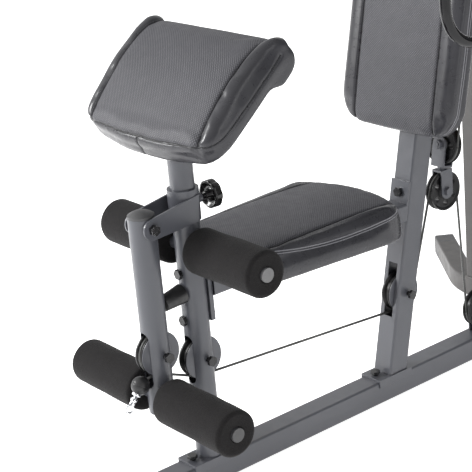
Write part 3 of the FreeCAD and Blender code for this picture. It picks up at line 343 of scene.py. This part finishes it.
def leatherette():
    """Dark upholstery: embossed middle panels, smooth glossy sides, sewn seams and piping; the seam grooves
    carry painted shade and the piping cords a painted highlight.
    """
    coat = Coat("leatherette", 0.42)
    flat = coat.node("ShaderNodeSeparateXYZ")
    coat.link(coat.attribute("pad_place", "Vector"), flat.inputs[0])
    panel = coat.attribute("panel")
    seam = coat.attribute("seam")
    run = coat.attribute("run")
    cord = coat.attribute("cord")

    turn = 2 * math.pi / DOT_PITCH
    across = coat.math("SINE", coat.math("MULTIPLY", flat.outputs[0], turn))
    along = coat.math("SINE", coat.math("MULTIPLY", flat.outputs[1], turn))
    dots = coat.math("MULTIPLY", coat.span(coat.math("MULTIPLY", across, along), -0.3, 0.9), panel)

    broad = coat.noise(9, 4)
    leather = coat.blend(coat.span(broad, 0.3, 0.7), (0.024, 0.024, 0.028), (0.031, 0.031, 0.036))
    woven = coat.blend(dots, leather, (0.100, 0.100, 0.115))
    # Near-black colour along the bottom of the seam grooves: painted shade in the creases.
    groove = coat.span(seam, 0.0004, 0.0017)
    sewn = coat.blend(groove, (0.006, 0.006, 0.007), woven)
    dash = coat.span(coat.math("FRACT", coat.math("DIVIDE", run, STITCH)), 0.62, 0.7, 1.0, 0.0)
    row = coat.math("MULTIPLY", coat.span(seam, 0.0026, 0.0030), coat.span(seam, 0.0034, 0.0038, 1.0, 0.0))
    thread = coat.math("MULTIPLY", dash, row)
    stitched = coat.blend(thread, sewn, (0.055, 0.055, 0.060))
    # Lighter colour along the upper and lower piping cords: a painted highlight, standing in for the light
    # the raised cords catch.
    upper = coat.span(coat.math("ABSOLUTE", cord), 0.0008, 0.0015, 1.0, 0.0)
    lower = coat.span(coat.math("ABSOLUTE", coat.math("ADD", cord, 0.0045)), 0.0006, 0.0012, 1.0, 0.0)
    piping = coat.math("MAXIMUM", upper, lower)
    coat.link(coat.blend(piping, stitched, (0.17, 0.17, 0.185)), coat.shader.inputs["Base Color"])

    satin = coat.span(coat.noise(70, 3), 0.3, 0.7, 0.26, 0.34)
    matte = coat.math("MULTIPLY", panel, 0.20)
    coat.link(coat.math("ADD", satin, matte), coat.shader.inputs["Roughness"])
    coat.shader.inputs["Specular IOR Level"].default_value = 0.36
    coat.bump(coat.noise(22, 2), 0.0004, 0.6)
    coat.bump(dots, 0.0004)
    coat.bump(groove, 0.0012)
    coat.bump(thread, 0.0004)
    coat.bump(piping, 0.0008)
    return coat.material


def paint_all():
    """One material for each slot of the record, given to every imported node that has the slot."""
    finishes = {
        "frame_paint": powder_coat("frame_coat", (0.074, 0.077, 0.089), 0.34),
        "rear_paint": powder_coat("rear_coat", (0.050, 0.047, 0.0455), 0.45),
        "arm_paint": powder_coat("arm_coat", (0.006, 0.006, 0.007), 0.13, 0.00001, shine=0.28),
        "cap_plastic": moulded("cap_grey", (0.055, 0.055, 0.057), 0.50),
        "pad_leather": leatherette(),
        "foam": foam_skin(),
        "pulley_plastic": moulded("nylon_black", (0.005, 0.005, 0.0055), 0.36, 0.00002, 0.3),
        "black_rubber": rubber("rubber_black", (0.012, 0.012, 0.013), 0.38),
        "cable_coat": cable_skin(),
        "black_bolt": moulded("black_zinc", (0.010, 0.010, 0.011), 0.24, 0.00001),
        "chrome": polished("chrome", (0.74, 0.75, 0.77), 0.12),
        "knob_plastic": moulded("gloss_black", (0.008, 0.008, 0.008), 0.16, 0.00001),
        "board": plywood(),
        "plate_iron": cast_plate(),
    }
    for part in frame["record"]["subparts"]:
        mesh = nodes[part["node"]].data
        mesh.materials.clear()
        mesh.materials.append(finishes[part["material_slot"]])
    return finishes


def refinish(node, material, chosen):
    """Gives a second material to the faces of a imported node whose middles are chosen."""
    mesh = nodes[node].data
    mesh.materials.append(material)
    last = len(mesh.materials) - 1
    for face in mesh.polygons:
        if chosen(face):
            face.material_index = last


def refinish_all():
    """Bolts, caps and collars that share a node with painted or moulded parts."""
    black, cap = finish["black_bolt"], finish["cap_plastic"]
    lever_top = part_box("leg_lever")[1].z
    refinish("lever_fittings", black, lambda face: abs(face.center.x) > 0.0118)
    refinish("leg_lever", cap, lambda face: face.center.z > lever_top - 0.0128)
    refinish("pivot_bolt", black, lambda face: abs(face.normal.x) < 0.5)
    light_cap = moulded("cap_light", (0.135, 0.135, 0.138), 0.5)
    mesh = nodes["upper_spindle_caps"].data
    mesh.materials.clear()
    mesh.materials.append(light_cap)


# ---------------------------------------------------------------- building blocks
def place(name, mesh, slot, body="root", smooth=True):
    """Puts a mesh in the scene as a piece that rides on a body and takes a slot's finish."""
    piece = bpy.data.objects.new(name, mesh)
    bpy.context.scene.collection.objects.link(piece)
    mesh.materials.clear()
    mesh.materials.append(finish[slot])
    if smooth:
        mesh.shade_smooth()
    if body:
        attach(piece, body)
    return piece


def ring_mesh(name, rings, closed_ends=True, loop=False):
    """A skin over rings of equal point counts."""
    count = len(rings[0])
    points = [p for ring in rings for p in ring]
    faces = []
    pairs = len(rings) if loop else len(rings) - 1
    for i in range(pairs):
        a, b = i * count, ((i + 1) % len(rings)) * count
        for j in range(count):
            k = (j + 1) % count
            faces.append((a + j, a + k, b + k, b + j))
    if closed_ends and not loop:
        faces.append(tuple(reversed(range(count))))
        faces.append(tuple(range((len(rings) - 1) * count, len(rings) * count)))
    mesh = bpy.data.meshes.new(name)
    mesh.from_pydata(points, [], faces)
    made = bmesh.new()
    made.from_mesh(mesh)
    bmesh.ops.recalc_face_normals(made, faces=made.faces)
    made.to_mesh(mesh)
    made.free()
    return mesh


def frame_of(axis):
    """Two directions square to an axis."""
    axis = axis.normalized()
    side = axis.cross(Z_AXIS if abs(axis.z) < 0.9 else X_AXIS).normalized()
    return side, axis.cross(side)


def lathe(name, spot, axis, profile, around=72, closed=False, wave=None):
    """A turned form: profile is a list of (distance along axis, radius)."""
    axis = axis.normalized()
    side, other = frame_of(axis)
    rings = []
    for along, radius in profile:
        ring = []
        for i in range(around):
            a = 2 * math.pi * i / around
            r = radius + (wave(a, along, radius) if wave else 0)
            ring.append(spot + axis * along + (side * math.cos(a) + other * math.sin(a)) * r)
        rings.append(ring)
    return ring_mesh(name, rings, closed_ends=not closed, loop=closed)


def arc_profile(along, radius, r, start, end, steps=6):
    """Points of a rounded corner in a turned profile; the angles are in degrees."""
    points = []
    for i in range(steps + 1):
        a = math.radians(start + (end - start) * i / steps)
        points.append((along + r * math.cos(a), radius + r * math.sin(a)))
    return points


def wire(name, points, radius, around=16, loop=False, curved=True, steps=10):
    """A round bar along points; curved runs a smooth spline through them."""
    path = smooth_path(points, steps, loop) if curved else [Vector(p) for p in points]
    count = len(path)
    rings = []
    side = None
    for i, p in enumerate(path):
        before = path[i - 1] if (i or loop) else p
        after = path[(i + 1) % count] if (i < count - 1 or loop) else p
        way = (after - before).normalized()
        if side is None:
            side = frame_of(way)[0]
        side = (side - way * side.dot(way)).normalized()
        other = way.cross(side)
        ring = []
        for j in range(around):
            a = 2 * math.pi * j / around
            ring.append(p + (side * math.cos(a) + other * math.sin(a)) * radius)
        rings.append(ring)
    return ring_mesh(name, rings, loop=loop)


def smooth_path(points, steps, loop):
    """Catmull-Rom path through the points."""
    points = [Vector(p) for p in points]
    count = len(points)
    path = []
    last = count if loop else count - 1
    for i in range(last):
        if loop:
            a, b, c, d = (points[(i + k) % count] for k in (-1, 0, 1, 2))
        else:
            a, b, c, d = (points[min(max(i + k, 0), count - 1)] for k in (-1, 0, 1, 2))
        for j in range(steps):
            t = j / steps
            path.append(0.5 * (2 * b + (c - a) * t + (2 * a - 5 * b + 4 * c - d) * t ** 2
                               + (3 * b - a - 3 * c + d) * t ** 3))
    if not loop:
        path.append(points[-1])
    return path


def baked(piece):
    """The piece's mesh with its modifiers applied."""
    graph = bpy.context.evaluated_depsgraph_get()
    return bpy.data.meshes.new_from_object(piece.evaluated_get(graph))


# ---------------------------------------------------------------- cushions
VOXEL = 0.0045
SHRINK = 0.0022
PUFF_CAP = 0.0045


class Cushion:
    """A cushion's own axes: x across, y along, z out of its face, from the middle of the face."""

    def __init__(self, node, lean, rise, origin=None):
        self.node = node
        self.along = Vector((0, math.cos(lean), math.sin(lean)))
        self.out = Vector((0, -math.sin(lean), math.cos(lean)))
        self.origin = origin or centre(node) + self.out * rise
        low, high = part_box(node)
        self.half_x = (high.x - low.x) / 2
        reach = [self.local(v.co).y for v in nodes[node].data.vertices]
        self.low, self.high = min(reach), max(reach)

    def local(self, p):
        d = p - self.origin
        return Vector((d.x, d.dot(self.along), d.dot(self.out)))

    def world(self, q):
        return self.origin + X_AXIS * q.x + self.along * q.y + self.out * q.z


def remeshed(piece):
    made = bmesh.new()
    made.from_mesh(piece.data)
    bmesh.ops.remove_doubles(made, verts=made.verts, dist=1e-5)
    made.to_mesh(piece.data)
    made.free()
    grid = piece.modifiers.new("grid", "REMESH")
    grid.mode = "VOXEL"
    grid.voxel_size = VOXEL
    mesh = baked(piece)
    piece.modifiers.clear()
    piece.data = mesh


def puffed(piece, cushion, held_below):
    """Blows the cover up like a stuffed cushion; points deeper than held_below stay put."""
    remeshed(piece)
    mesh = piece.data
    normals = [v.normal.copy() for v in mesh.vertices]
    held = []
    for v, n in zip(mesh.vertices, normals):
        if cushion.local(v.co).z < held_below:
            held.append(v.index)
        v.co -= n * SHRINK
    rest = [v.co.copy() for v in mesh.vertices]
    piece.vertex_groups.new(name="held").add(held, 1.0, "REPLACE")
    cloth = piece.modifiers.new("cloth", "CLOTH")
    cloth.settings.use_pressure = True
    cloth.settings.uniform_pressure_force = 4
    cloth.settings.vertex_group_mass = "held"
    cloth.settings.effector_weights.gravity = 0
    cloth.point_cache.frame_start = 1
    cloth.point_cache.frame_end = 20
    for step in range(1, 21):
        bpy.context.scene.frame_set(step)
    swollen = baked(piece)
    piece.modifiers.clear()
    piece.vertex_groups.clear()
    piece.data = swollen
    for v, start in zip(piece.data.vertices, rest):
        move = v.co - start
        if move.length > PUFF_CAP:
            v.co = start + move * (PUFF_CAP / move.length)
    softer = piece.modifiers.new("softer", "SMOOTH")
    softer.iterations = 12
    finer = piece.modifiers.new("finer", "SUBSURF")
    finer.levels = 1
    finer.render_levels = 1
    piece.data = baked(piece)
    piece.modifiers.clear()


def bell(distance, width):
    return math.exp(-(distance / width) ** 2)


def ramp(value, low, high):
    t = min(max((value - low) / (high - low), 0), 1)
    return t * t * (3 - 2 * t)


def sewn(piece, cushion, seams, panel, swell, cord):
    """Presses the seams into the cover and notes where they run, for its material.

    seams(q) gives (distance, place along, depth) for the seam nearest to local place q,
    panel(q) is 1 on the embossed middle, swell(q) is how far the stuffing stands out, and
    cord(q) is how far q lies above the piping.
    """
    mesh = piece.data
    vertices = mesh.vertices
    normals = [v.normal.copy() for v in vertices]
    values = {"panel": [], "seam": [], "run": [], "cord": []}
    spots = []
    for v, n in zip(vertices, normals):
        q = cushion.local(v.co)
        distance, run, depth = seams(q)
        values["panel"].append(panel(q))
        values["seam"].append(min(distance, 0.05))
        values["run"].append(run)
        values["cord"].append(min(max(cord(q), -0.05), 0.05))
        spots.extend((q.x, q.y, q.z))
        wrinkle = 0.0006 * noise.noise(v.co * 14)
        v.co += n * (swell(q) + wrinkle - depth * bell(distance, 0.0028))
    for name, numbers in values.items():
        mesh.attributes.new(name, "FLOAT", "POINT").data.foreach_set("value", numbers)
    mesh.attributes.new("pad_place", "FLOAT_VECTOR", "POINT").data.foreach_set("vector", spots)


def no_cord(q):
    return 1.0


def make_cushion(name, cushion, held_below, seams, panel, swell, body, cord=no_cord):
    piece = bpy.data.objects.new(name, nodes[cushion.node].data.copy())
    bpy.context.scene.collection.objects.link(piece)
    puffed(piece, cushion, held_below)
    sewn(piece, cushion, seams, panel, swell, cord)
    piece.data.materials.clear()
    piece.data.materials.append(finish["pad_leather"])
    piece.data.shade_smooth()
    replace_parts(piece, cushion.node)
    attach(piece, body)
    return piece


def nearest(*lines):
    return min(lines, key=lambda line: line[0])


FAR = (1.0, 0.0, 0.0)


def add_preacher_pad():
    pad = Cushion("preacher_pad", PAD_TILT, 0, at(0, 7, 784))
    side, foot = 0.157, pad.low + 0.012

    def edge(q):
        """Height of the seam round the pad, which rises to the face at the lower end."""
        return -0.003 - 0.015 * ramp(q.y, pad.low + 0.004, pad.low + 0.06)

    def seams(q):
        lines = [FAR]
        if q.z > edge(q):
            lines.append((abs(abs(q.x) - side), q.y, 0.0030))
        wall = q.y < foot + 0.03 or abs(q.x) > pad.half_x - 0.012
        if wall and q.y < pad.high - 0.03:
            lines.append((abs(q.z - edge(q)), q.x + q.y, 0.0018))
        if q.y < foot + 0.02 and q.z < edge(q):
            lines.append((abs(q.x), q.z, 0.0016))
        return nearest(*lines)

    def panel(q):
        return ramp(side - abs(q.x), 0.001, 0.003) * ramp(q.z - edge(q), 0.0, 0.003)

    def swell(q):
        out = (abs(q.x) - side) / (pad.half_x - side)
        bolster = 0.005 * math.sin(math.pi * min(max(out, 0), 1))
        crown = 0.003 * max(0, 1 - (q.x / pad.half_x) ** 2) * max(0, 1 - (q.y / 0.131) ** 2)
        valley = -0.002 * bell(abs(q.x) - side, 0.012)
        full_foot = 0.006 * (1 - ramp(q.y, pad.low, pad.low + 0.05))
        return (bolster + crown + valley) * ramp(q.z, -0.03, -0.01) + full_foot

    return make_cushion("preacher_cushion", pad, -0.045, seams, panel, swell, "preacher")


def add_seat_pad():
    low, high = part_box("seat_pad")
    pad = Cushion("seat_pad", 0, (high.z - low.z) / 2)
    side = 0.110

    def piping(q):
        """The piping sags along the side and rises towards both ends of the seat."""
        lift = 0.0145 if q.y < 0 else 0.0100
        return -0.027 + lift * min(abs(q.y) / 0.145, 1.2) ** 2

    def seams(q):
        lines = [FAR]
        if q.z > -0.018:
            lines.append((abs(abs(q.x) - side), q.y, 0.0028))
        return nearest(*lines)

    def cord(q):
        return q.z - piping(q) if abs(q.x) > side + 0.01 or abs(q.y) > 0.175 else 1.0

    def panel(q):
        return ramp(side - abs(q.x), 0.001, 0.003) * ramp(q.z, -0.018, -0.012)

    def swell(q):
        out = (abs(q.x) - side) / (pad.half_x - side)
        bolster = 0.004 * math.sin(math.pi * min(max(out, 0), 1))
        crown = 0.007 * max(0, 1 - (q.x / 0.12) ** 2) * max(0, 1 - (q.y / 0.2) ** 2)
        rear = -0.003 * ramp(q.y, 0.05, 0.2)
        return (bolster + crown + rear - 0.006) * ramp(q.z, -0.022, -0.006)

    return make_cushion("seat_cushion", pad, low.z - high.z + 0.014, seams, panel, swell, "root",
                        cord)


def add_backrest_pad():
    pad = Cushion("backrest_pad", math.pi / 2 - LEAN, 0.0225)
    side, piping = 0.108, -0.020

    def seams(q):
        lines = [FAR]
        if q.z > -0.018:
            lines.append((abs(abs(q.x) - side), q.y, 0.0030))
        return nearest(*lines)

    def cord(q):
        return q.z - piping

    def panel(q):
        return ramp(side - abs(q.x), 0.001, 0.003) * ramp(q.z, -0.018, -0.012)

    def swell(q):
        out = (abs(q.x) - side) / (pad.half_x - side)
        bolster = 0.003 * math.sin(math.pi * min(max(out, 0), 1))
        crown = 0.004 * max(0, 1 - (q.x / 0.15) ** 2) * max(0, 1 - (q.y / 0.24) ** 2)
        return (bolster + crown) * ramp(q.z, -0.02, -0.006)

    return make_cushion("backrest_cushion", pad, -0.038, seams, panel, swell, "root", cord)


# ---------------------------------------------------------------- foam rollers and arm pads
def add_foam(node, body, axis, radius, bore):
    """Foam sleeve with rounded ends, soft dents and a slightly dished end face."""
    low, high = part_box(node)
    length = (high - low).dot(axis)
    spot = centre(node) - axis * (length / 2)
    edge = 0.008
    profile = [(0.002, bore), (0.0, bore + 0.004), (0.0015, radius - edge - 0.006)]
    profile += arc_profile(edge, radius - edge, edge, 180, 90)
    steps = 14
    profile += [(edge + (length - 2 * edge) * i / steps, radius) for i in range(1, steps)]
    profile += arc_profile(length - edge, radius - edge, edge, 90, 0)
    profile += [(length - 0.0015, radius - edge - 0.006), (length, bore + 0.004), (length - 0.002, bore)]

    def dents(a, along, r):
        if r < radius - 0.012:
            return 0
        return 0.0009 * noise.noise(Vector((math.cos(a) * 1.6, math.sin(a) * 1.6, along * 22 + spot.x * 9)))

    piece = place(node + "_foam", lathe(node + "_foam", spot, axis, profile, 80, True, dents), "foam", body)
    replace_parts(piece, node)


def add_all_foam():
    for height in ("lower", "upper"):
        for side in ("left", "right"):
            name = height + "_roller_" + side
            add_foam(name, name, X_AXIS, ROLLER_R, ROLLER_BORE)
    for side in ("left", "right"):
        add_foam("arm_pad_" + side, "arm_pad_" + side, Z_AXIS, ARM_PAD_R, ARM_PAD_BORE)


# ---------------------------------------------------------------- knob, hooks and stops
def add_knob():
    """Thick scalloped locking knob, dished round its hub on the side of the stem."""
    low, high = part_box("locking_knob")
    spot = Vector((centre("locking_knob").x, high.y, centre("locking_knob").z))
    axis = Vector((0, -1, 0))

    def lobes(a, along, r):
        if r < 0.023:
            return 0
        return -0.0013 * (0.5 - 0.5 * math.cos(8 * a)) ** 2

    profile = [(0.0010, 0.0002), (0.0004, 0.0160), (0.0, 0.0235)] + arc_profile(0.003, 0.0240, 0.003, 180, 90)
    profile += arc_profile(0.0130, 0.0240, 0.003, 90, 0)
    profile += [(0.0155, 0.0215), (0.0110, 0.0190), (0.0100, 0.0120), (0.0120, 0.0092), (0.0225, 0.0078),
                (0.0240, 0.0062), (0.0240, 0.0002)]
    head = place("knob_head", lathe("knob_head", spot, axis, profile, 96, False, lobes), "knob_plastic",
                 "locking_knob")
    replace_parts(head, "locking_knob")
    length = spot.y - 0.023 - low.y
    stem = [(0.0, 0.0002), (0.0, 0.0040), (0.001, 0.0049)]
    pitch = 0.0016
    for i in range(int((length - 0.004) / pitch)):
        base = 0.002 + i * pitch
        stem += [(base, 0.0049), (base + 0.0006, 0.0045)]
    stem += [(length, 0.0049), (length, 0.0002)]
    start = Vector((spot.x, low.y, spot.z))
    place("knob_stem", lathe("knob_stem", start, -axis, stem, 40), "chrome", "locking_knob")


def add_ball_stop(name, spot, body, axis, radius=0.016):
    """Rubber ball in two moulded halves, with the small collar where the cable leaves it."""
    profile = [(-radius, 0.0030), (-radius + 0.0004, 0.0048)]
    steps = 22
    for i in range(2, steps - 1):
        a = math.pi * i / steps
        along, r = -radius * math.cos(a), radius * math.sin(a)
        profile.append((along, r))
        if i == steps // 2:
            profile.append((along + 0.0005, r - 0.0006))
            profile.append((along + 0.0010, r - 0.0001))
    profile += [(radius - 0.0004, 0.0048), (radius, 0.0030)]
    return place(name, lathe(name, spot, axis, profile, 56), "black_rubber", body)


def add_ferrule(name, start, way, length, body):
    """Swaged sleeve with pressed grooves."""
    profile = [(0.0, 0.0026), (0.0, 0.0046)]
    bands = 4
    for i in range(bands):
        base = length * (i + 0.3) / (bands + 0.4)
        profile += [(base, 0.0052), (base + 0.0012, 0.0045), (base + 0.0024, 0.0052)]
    profile += [(length - 0.001, 0.0050), (length, 0.0040), (length, 0.0005)]
    place(name, lathe(name, start, way, profile, 40), "chrome", body)


def add_low_end():
    """Ball stop and galvanised swivel shackle on the low cable, in front of the lever."""
    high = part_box("low_cable_stop")[1]
    radius = 0.0175
    ball = Vector((0, high.y - radius, high.z - radius))
    way = Vector((0, -math.sin(HOOK_LEAN), -math.cos(HOOK_LEAN)))
    stop = add_ball_stop("low_ball_stop", ball, "leg_lever", way, radius)
    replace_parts(stop, "low_cable_stop")
    pin = ball + way * 0.028
    collar = [(0.0, 0.0005), (0.0, 0.0078), (0.0010, 0.0086), (0.0040, 0.0086), (0.0052, 0.0074),
              (0.0060, 0.0036), (0.0105, 0.0032), (0.0105, 0.0005)]
    place("low_collar", lathe("low_collar", ball + way * 0.0150, way, collar, 40), "chrome", "leg_lever")
    half = 0.0030
    eye = [(-half, 0.0026), (-half, 0.0054), (-half + 0.0007, 0.0060),
           (half - 0.0007, 0.0060), (half, 0.0054), (half, 0.0026)]
    place("low_eye", lathe("low_eye", pin, X_AXIS, eye, 40, True), "chrome", "leg_lever")
    rivet = [(-0.0068, 0.0002), (-0.0068, 0.0034), (-0.0056, 0.0036), (-0.0054, 0.0024), (0.0054, 0.0024),
             (0.0056, 0.0036), (0.0068, 0.0034), (0.0068, 0.0002)]
    place("low_rivet", lathe("low_rivet", pin, X_AXIS, rivet, 32), "chrome", "leg_lever")

    face = Vector((0, math.cos(HOOK_LEAN), -math.sin(HOOK_LEAN)))
    for side in (-1, 1):
        strap = [pin + X_AXIS * (side * 0.0043) + way * t for t in (-0.0036, 0.004, 0.0085)]
        strap.append(pin + X_AXIS * (side * 0.0030) + way * 0.0112)
        name = "low_hook_strap_" + ("left" if side > 0 else "right")
        place(name, wire(name, strap, 0.0021, 16), "chrome", "low_snap_hook")
    loop = []
    for i in range(20):
        a = 2 * math.pi * i / 20
        loop.append(pin + way * (0.0182 - 0.0078 * math.cos(a)) + face * (0.0072 * math.sin(a)))
    ring = wire("low_hook_ring", loop, 0.0023, 18, True, True, 4)
    ring = place("low_hook_ring", ring, "chrome", "low_snap_hook")
    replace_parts(ring, "low_snap_hook")


def add_lat_end():
    """Ball stop, ferrule and ring that carry the lat pull-down bar."""
    low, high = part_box("lat_hook")
    spot = centre("lat_hook")
    ball = Vector((spot.x, spot.y, high.z - 0.016))
    down = Vector((0, 0, -1))
    stop = add_ball_stop("lat_ball_stop", ball, "lat_hook", down)
    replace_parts(stop, "lat_hook")
    add_ferrule("lat_ferrule", ball + down * 0.0145, down, 0.016, "lat_hook")
    ring_middle = Vector((spot.x, spot.y, low.z + 0.0185))
    circle = []
    for i in range(24):
        a = 2 * math.pi * i / 24
        circle.append(ring_middle + Vector((0, math.sin(a), math.cos(a))) * 0.015)
    place("lat_ring", wire("lat_ring", circle, 0.0034, 18, True, True, 4), "chrome", "lat_hook")
    shank_top = ball + down * 0.0300
    length = shank_top.z - ring_middle.z - 0.0150
    shank = [(0.0, 0.0005), (0.0, 0.0048), (0.001, 0.0054), (length, 0.0050), (length, 0.0005)]
    place("lat_shank", lathe("lat_shank", shank_top, down, shank, 40), "chrome", "lat_hook")


# ---------------------------------------------------------------- cables
def tangent(first, second):
    """Where a straight run leaves one round station and meets the next, in the middle plane.

    A station is (place, radius, way round): +1 turns from +Y towards +Z.
    """
    (p, r1, s1), (q, r2, s2) = first, second
    d = q - p
    angle = math.atan2(d.z, d.y) - math.asin((s2 * r2 - s1 * r1) / d.length)
    across = Vector((0, -math.sin(angle), math.cos(angle)))
    return p - across * (s1 * r1), q - across * (s2 * r2)


def arc_points(middle, start, end, turn_sign, steps=20):
    """Points round a station in the middle plane."""
    a, b = start - middle, end - middle
    first = math.atan2(a.z, a.y)
    sweep = math.atan2(b.z, b.y) - first
    sweep = sweep % (2 * math.pi) if turn_sign > 0 else -((-sweep) % (2 * math.pi))
    points = []
    for i in range(steps + 1):
        t = first + sweep * i / steps
        points.append(middle + Vector((0, math.cos(t), math.sin(t))) * a.length)
    return points


def corner_points(before, corner, after, radius, steps=12):
    """A corner of a route, rounded to a radius."""
    a, b = (before - corner).normalized(), (after - corner).normalized()
    half = a.angle(b) / 2
    middle = corner + (a + b).normalized() * (radius / math.sin(half))
    start, end = corner + a * (radius / math.tan(half)), corner + b * (radius / math.tan(half))
    points = []
    for i in range(steps + 1):
        points.append(middle + (start - middle).slerp(end - middle, i / steps).normalized() * radius)
    return points


def lay_cable(name, points, body):
    return place(name, wire(name, points, CABLE_R, 14, curved=False), "cable_coat", body)


def strand(name, start, end, body_a, body_b):
    """A straight run from start to end, left on no body."""
    piece = place(name, wire(name, [start, end], CABLE_R, 14, curved=False), "cable_coat", None)
    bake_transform(piece)
    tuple(start)
    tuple(end)
    return piece


def add_low_cable():
    names = ["lever_pulley", "post_pulley", "upright_pulley", "block_lower_pulley", "base_pulley"]
    ways = [1, 1, 1, -1, 1]
    owners = ["leg_lever", "root", "root", "floating_block", "root"]
    stop_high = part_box("low_cable_stop")[1]
    front = Vector((0, stop_high.y - 0.012, stop_high.z - 0.012))
    anchor = at(0, 911.5, 68)
    stations = [(front, 0.0, 1)]
    stations += [(centre(n), WRAP, w) for n, w in zip(names, ways)]
    stations.append((anchor, 0.0, 1))
    runs = [tangent(a, b) for a, b in zip(stations, stations[1:])]
    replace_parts(lay_cable("low_cable_front", list(runs[0]), "leg_lever"), "low_cable")
    for i, (name, owner) in enumerate(zip(names, owners)):
        middle, _, way = stations[i + 1]
        points = arc_points(middle, runs[i][1], runs[i + 1][0], way)
        lay_cable("low_cable_round_" + name, points, owner)
        following = owners[i + 1] if i + 1 < len(owners) else "root"
        start, end = runs[i + 1]
        run_name = "low_cable_run_%d" % (i + 1)
        if owner == following:
            lay_cable(run_name, [start, end], owner)
        else:
            strand(run_name, start, end, owner, following)


def add_high_cable():
    hook = centre("lat_hook")
    hook_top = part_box("lat_hook")[1].z
    boom_z = centre("lat_front_pulley").z + WRAP
    side_y = at(0, 446.4 + 25 / math.cos(LEAN), 0).y + (boom_z - WRAP) * math.tan(LEAN) + WRAP
    block = centre("block_upper_pulley")
    lean = math.radians(10.05)
    low = block - Vector((0, math.sin(lean), math.cos(lean))) * WRAP
    rear = centre("rear_top_pulley")
    stack = centre("top_plate")
    stack_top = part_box("top_plate")[1].z
    corners = [
        Vector((0, hook.y, hook_top)), Vector((0, hook.y, boom_z)), Vector((WRAP, side_y, boom_z)),
        Vector((WRAP, low.y, low.z)), Vector((-WRAP - 0.0012, low.y, low.z)),
        Vector((0, rear.y - WRAP, rear.z + WRAP)), Vector((0, rear.y + WRAP, rear.z + WRAP)),
        Vector((0, stack.y, stack_top))]
    rounds = [corner_points(*corners[i:i + 3], WRAP) for i in range(len(corners) - 2)]
    up = strand("high_cable_run_1", corners[0], rounds[0][0], "lat_hook", "root")
    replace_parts(up, "high_cable")
    lay_cable("high_cable_boom", rounds[0] + rounds[1], "root")
    strand("high_cable_run_2", rounds[1][-1], rounds[2][0], "root", "floating_block")
    lay_cable("high_cable_round_block", rounds[2] + rounds[3], "floating_block")
    strand("high_cable_run_3", rounds[3][-1], rounds[4][0], "floating_block", "root")
    lay_cable("high_cable_rear", rounds[4] + rounds[5], "root")
    strand("high_cable_run_4", rounds[5][-1], corners[-1], "root", "weight_stack")


# ---------------------------------------------------------------- small frame details
def bead(name, points, radius, body, slot, loop=True):
    """Weld bead: a smooth round bar of metal along a joint."""
    path = [Vector(p) for p in points]
    return place(name, wire(name, path, radius, 8, loop, False), slot, body)


def square_points(middle, first, second, half, per_side=16, corner=0.005):
    """Points round a square tube's outline."""
    points = []
    for k in range(4):
        turn = k * math.pi / 2
        for i in range(per_side):
            t = -1 + 2 * (i + 0.5) / per_side
            x, y = half, t * half
            limit = half - corner
            if abs(y) > limit:
                over = (abs(y) - limit) / corner
                x = half - corner * (1 - math.sqrt(max(0, 1 - over * over)))
            a = x * math.cos(turn) - y * math.sin(turn)
            b = x * math.sin(turn) + y * math.cos(turn)
            points.append(middle + first * a + second * b)
    return points


def add_welds():
    half = 0.025
    y_axis = Vector((0, 1, 0))
    rear = centre("rear_posts")
    for side, word in ((-1, "right"), (1, "left")):
        foot = Vector((side * 0.207, rear.y, 0.0505))
        line = square_points(foot, X_AXIS, y_axis, half)
        bead("rear_foot_weld_" + word, line, 0.0022, "root", "rear_paint")
        head = Vector((side * 0.207, rear.y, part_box("rear_posts")[1].z - 0.0005))
        line = square_points(head, X_AXIS, y_axis, half)
        bead("rear_head_weld_" + word, line, 0.0022, "root", "rear_paint")
    beam_low, beam_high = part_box("base_beam")
    for name, y in (("front_beam_weld", beam_low.y), ("rear_beam_weld", beam_high.y)):
        line = square_points(Vector((0, y, half)), X_AXIS, Z_AXIS, half - 0.0008)
        bead(name, line, 0.0020, "root", "frame_paint")


add_camera()
add_studio()
finish = paint_all()
refinish_all()
add_preacher_pad()
add_seat_pad()
add_backrest_pad()
add_all_foam()
add_knob()
add_low_end()
add_lat_end()
add_low_cable()
add_high_cable()
add_welds()
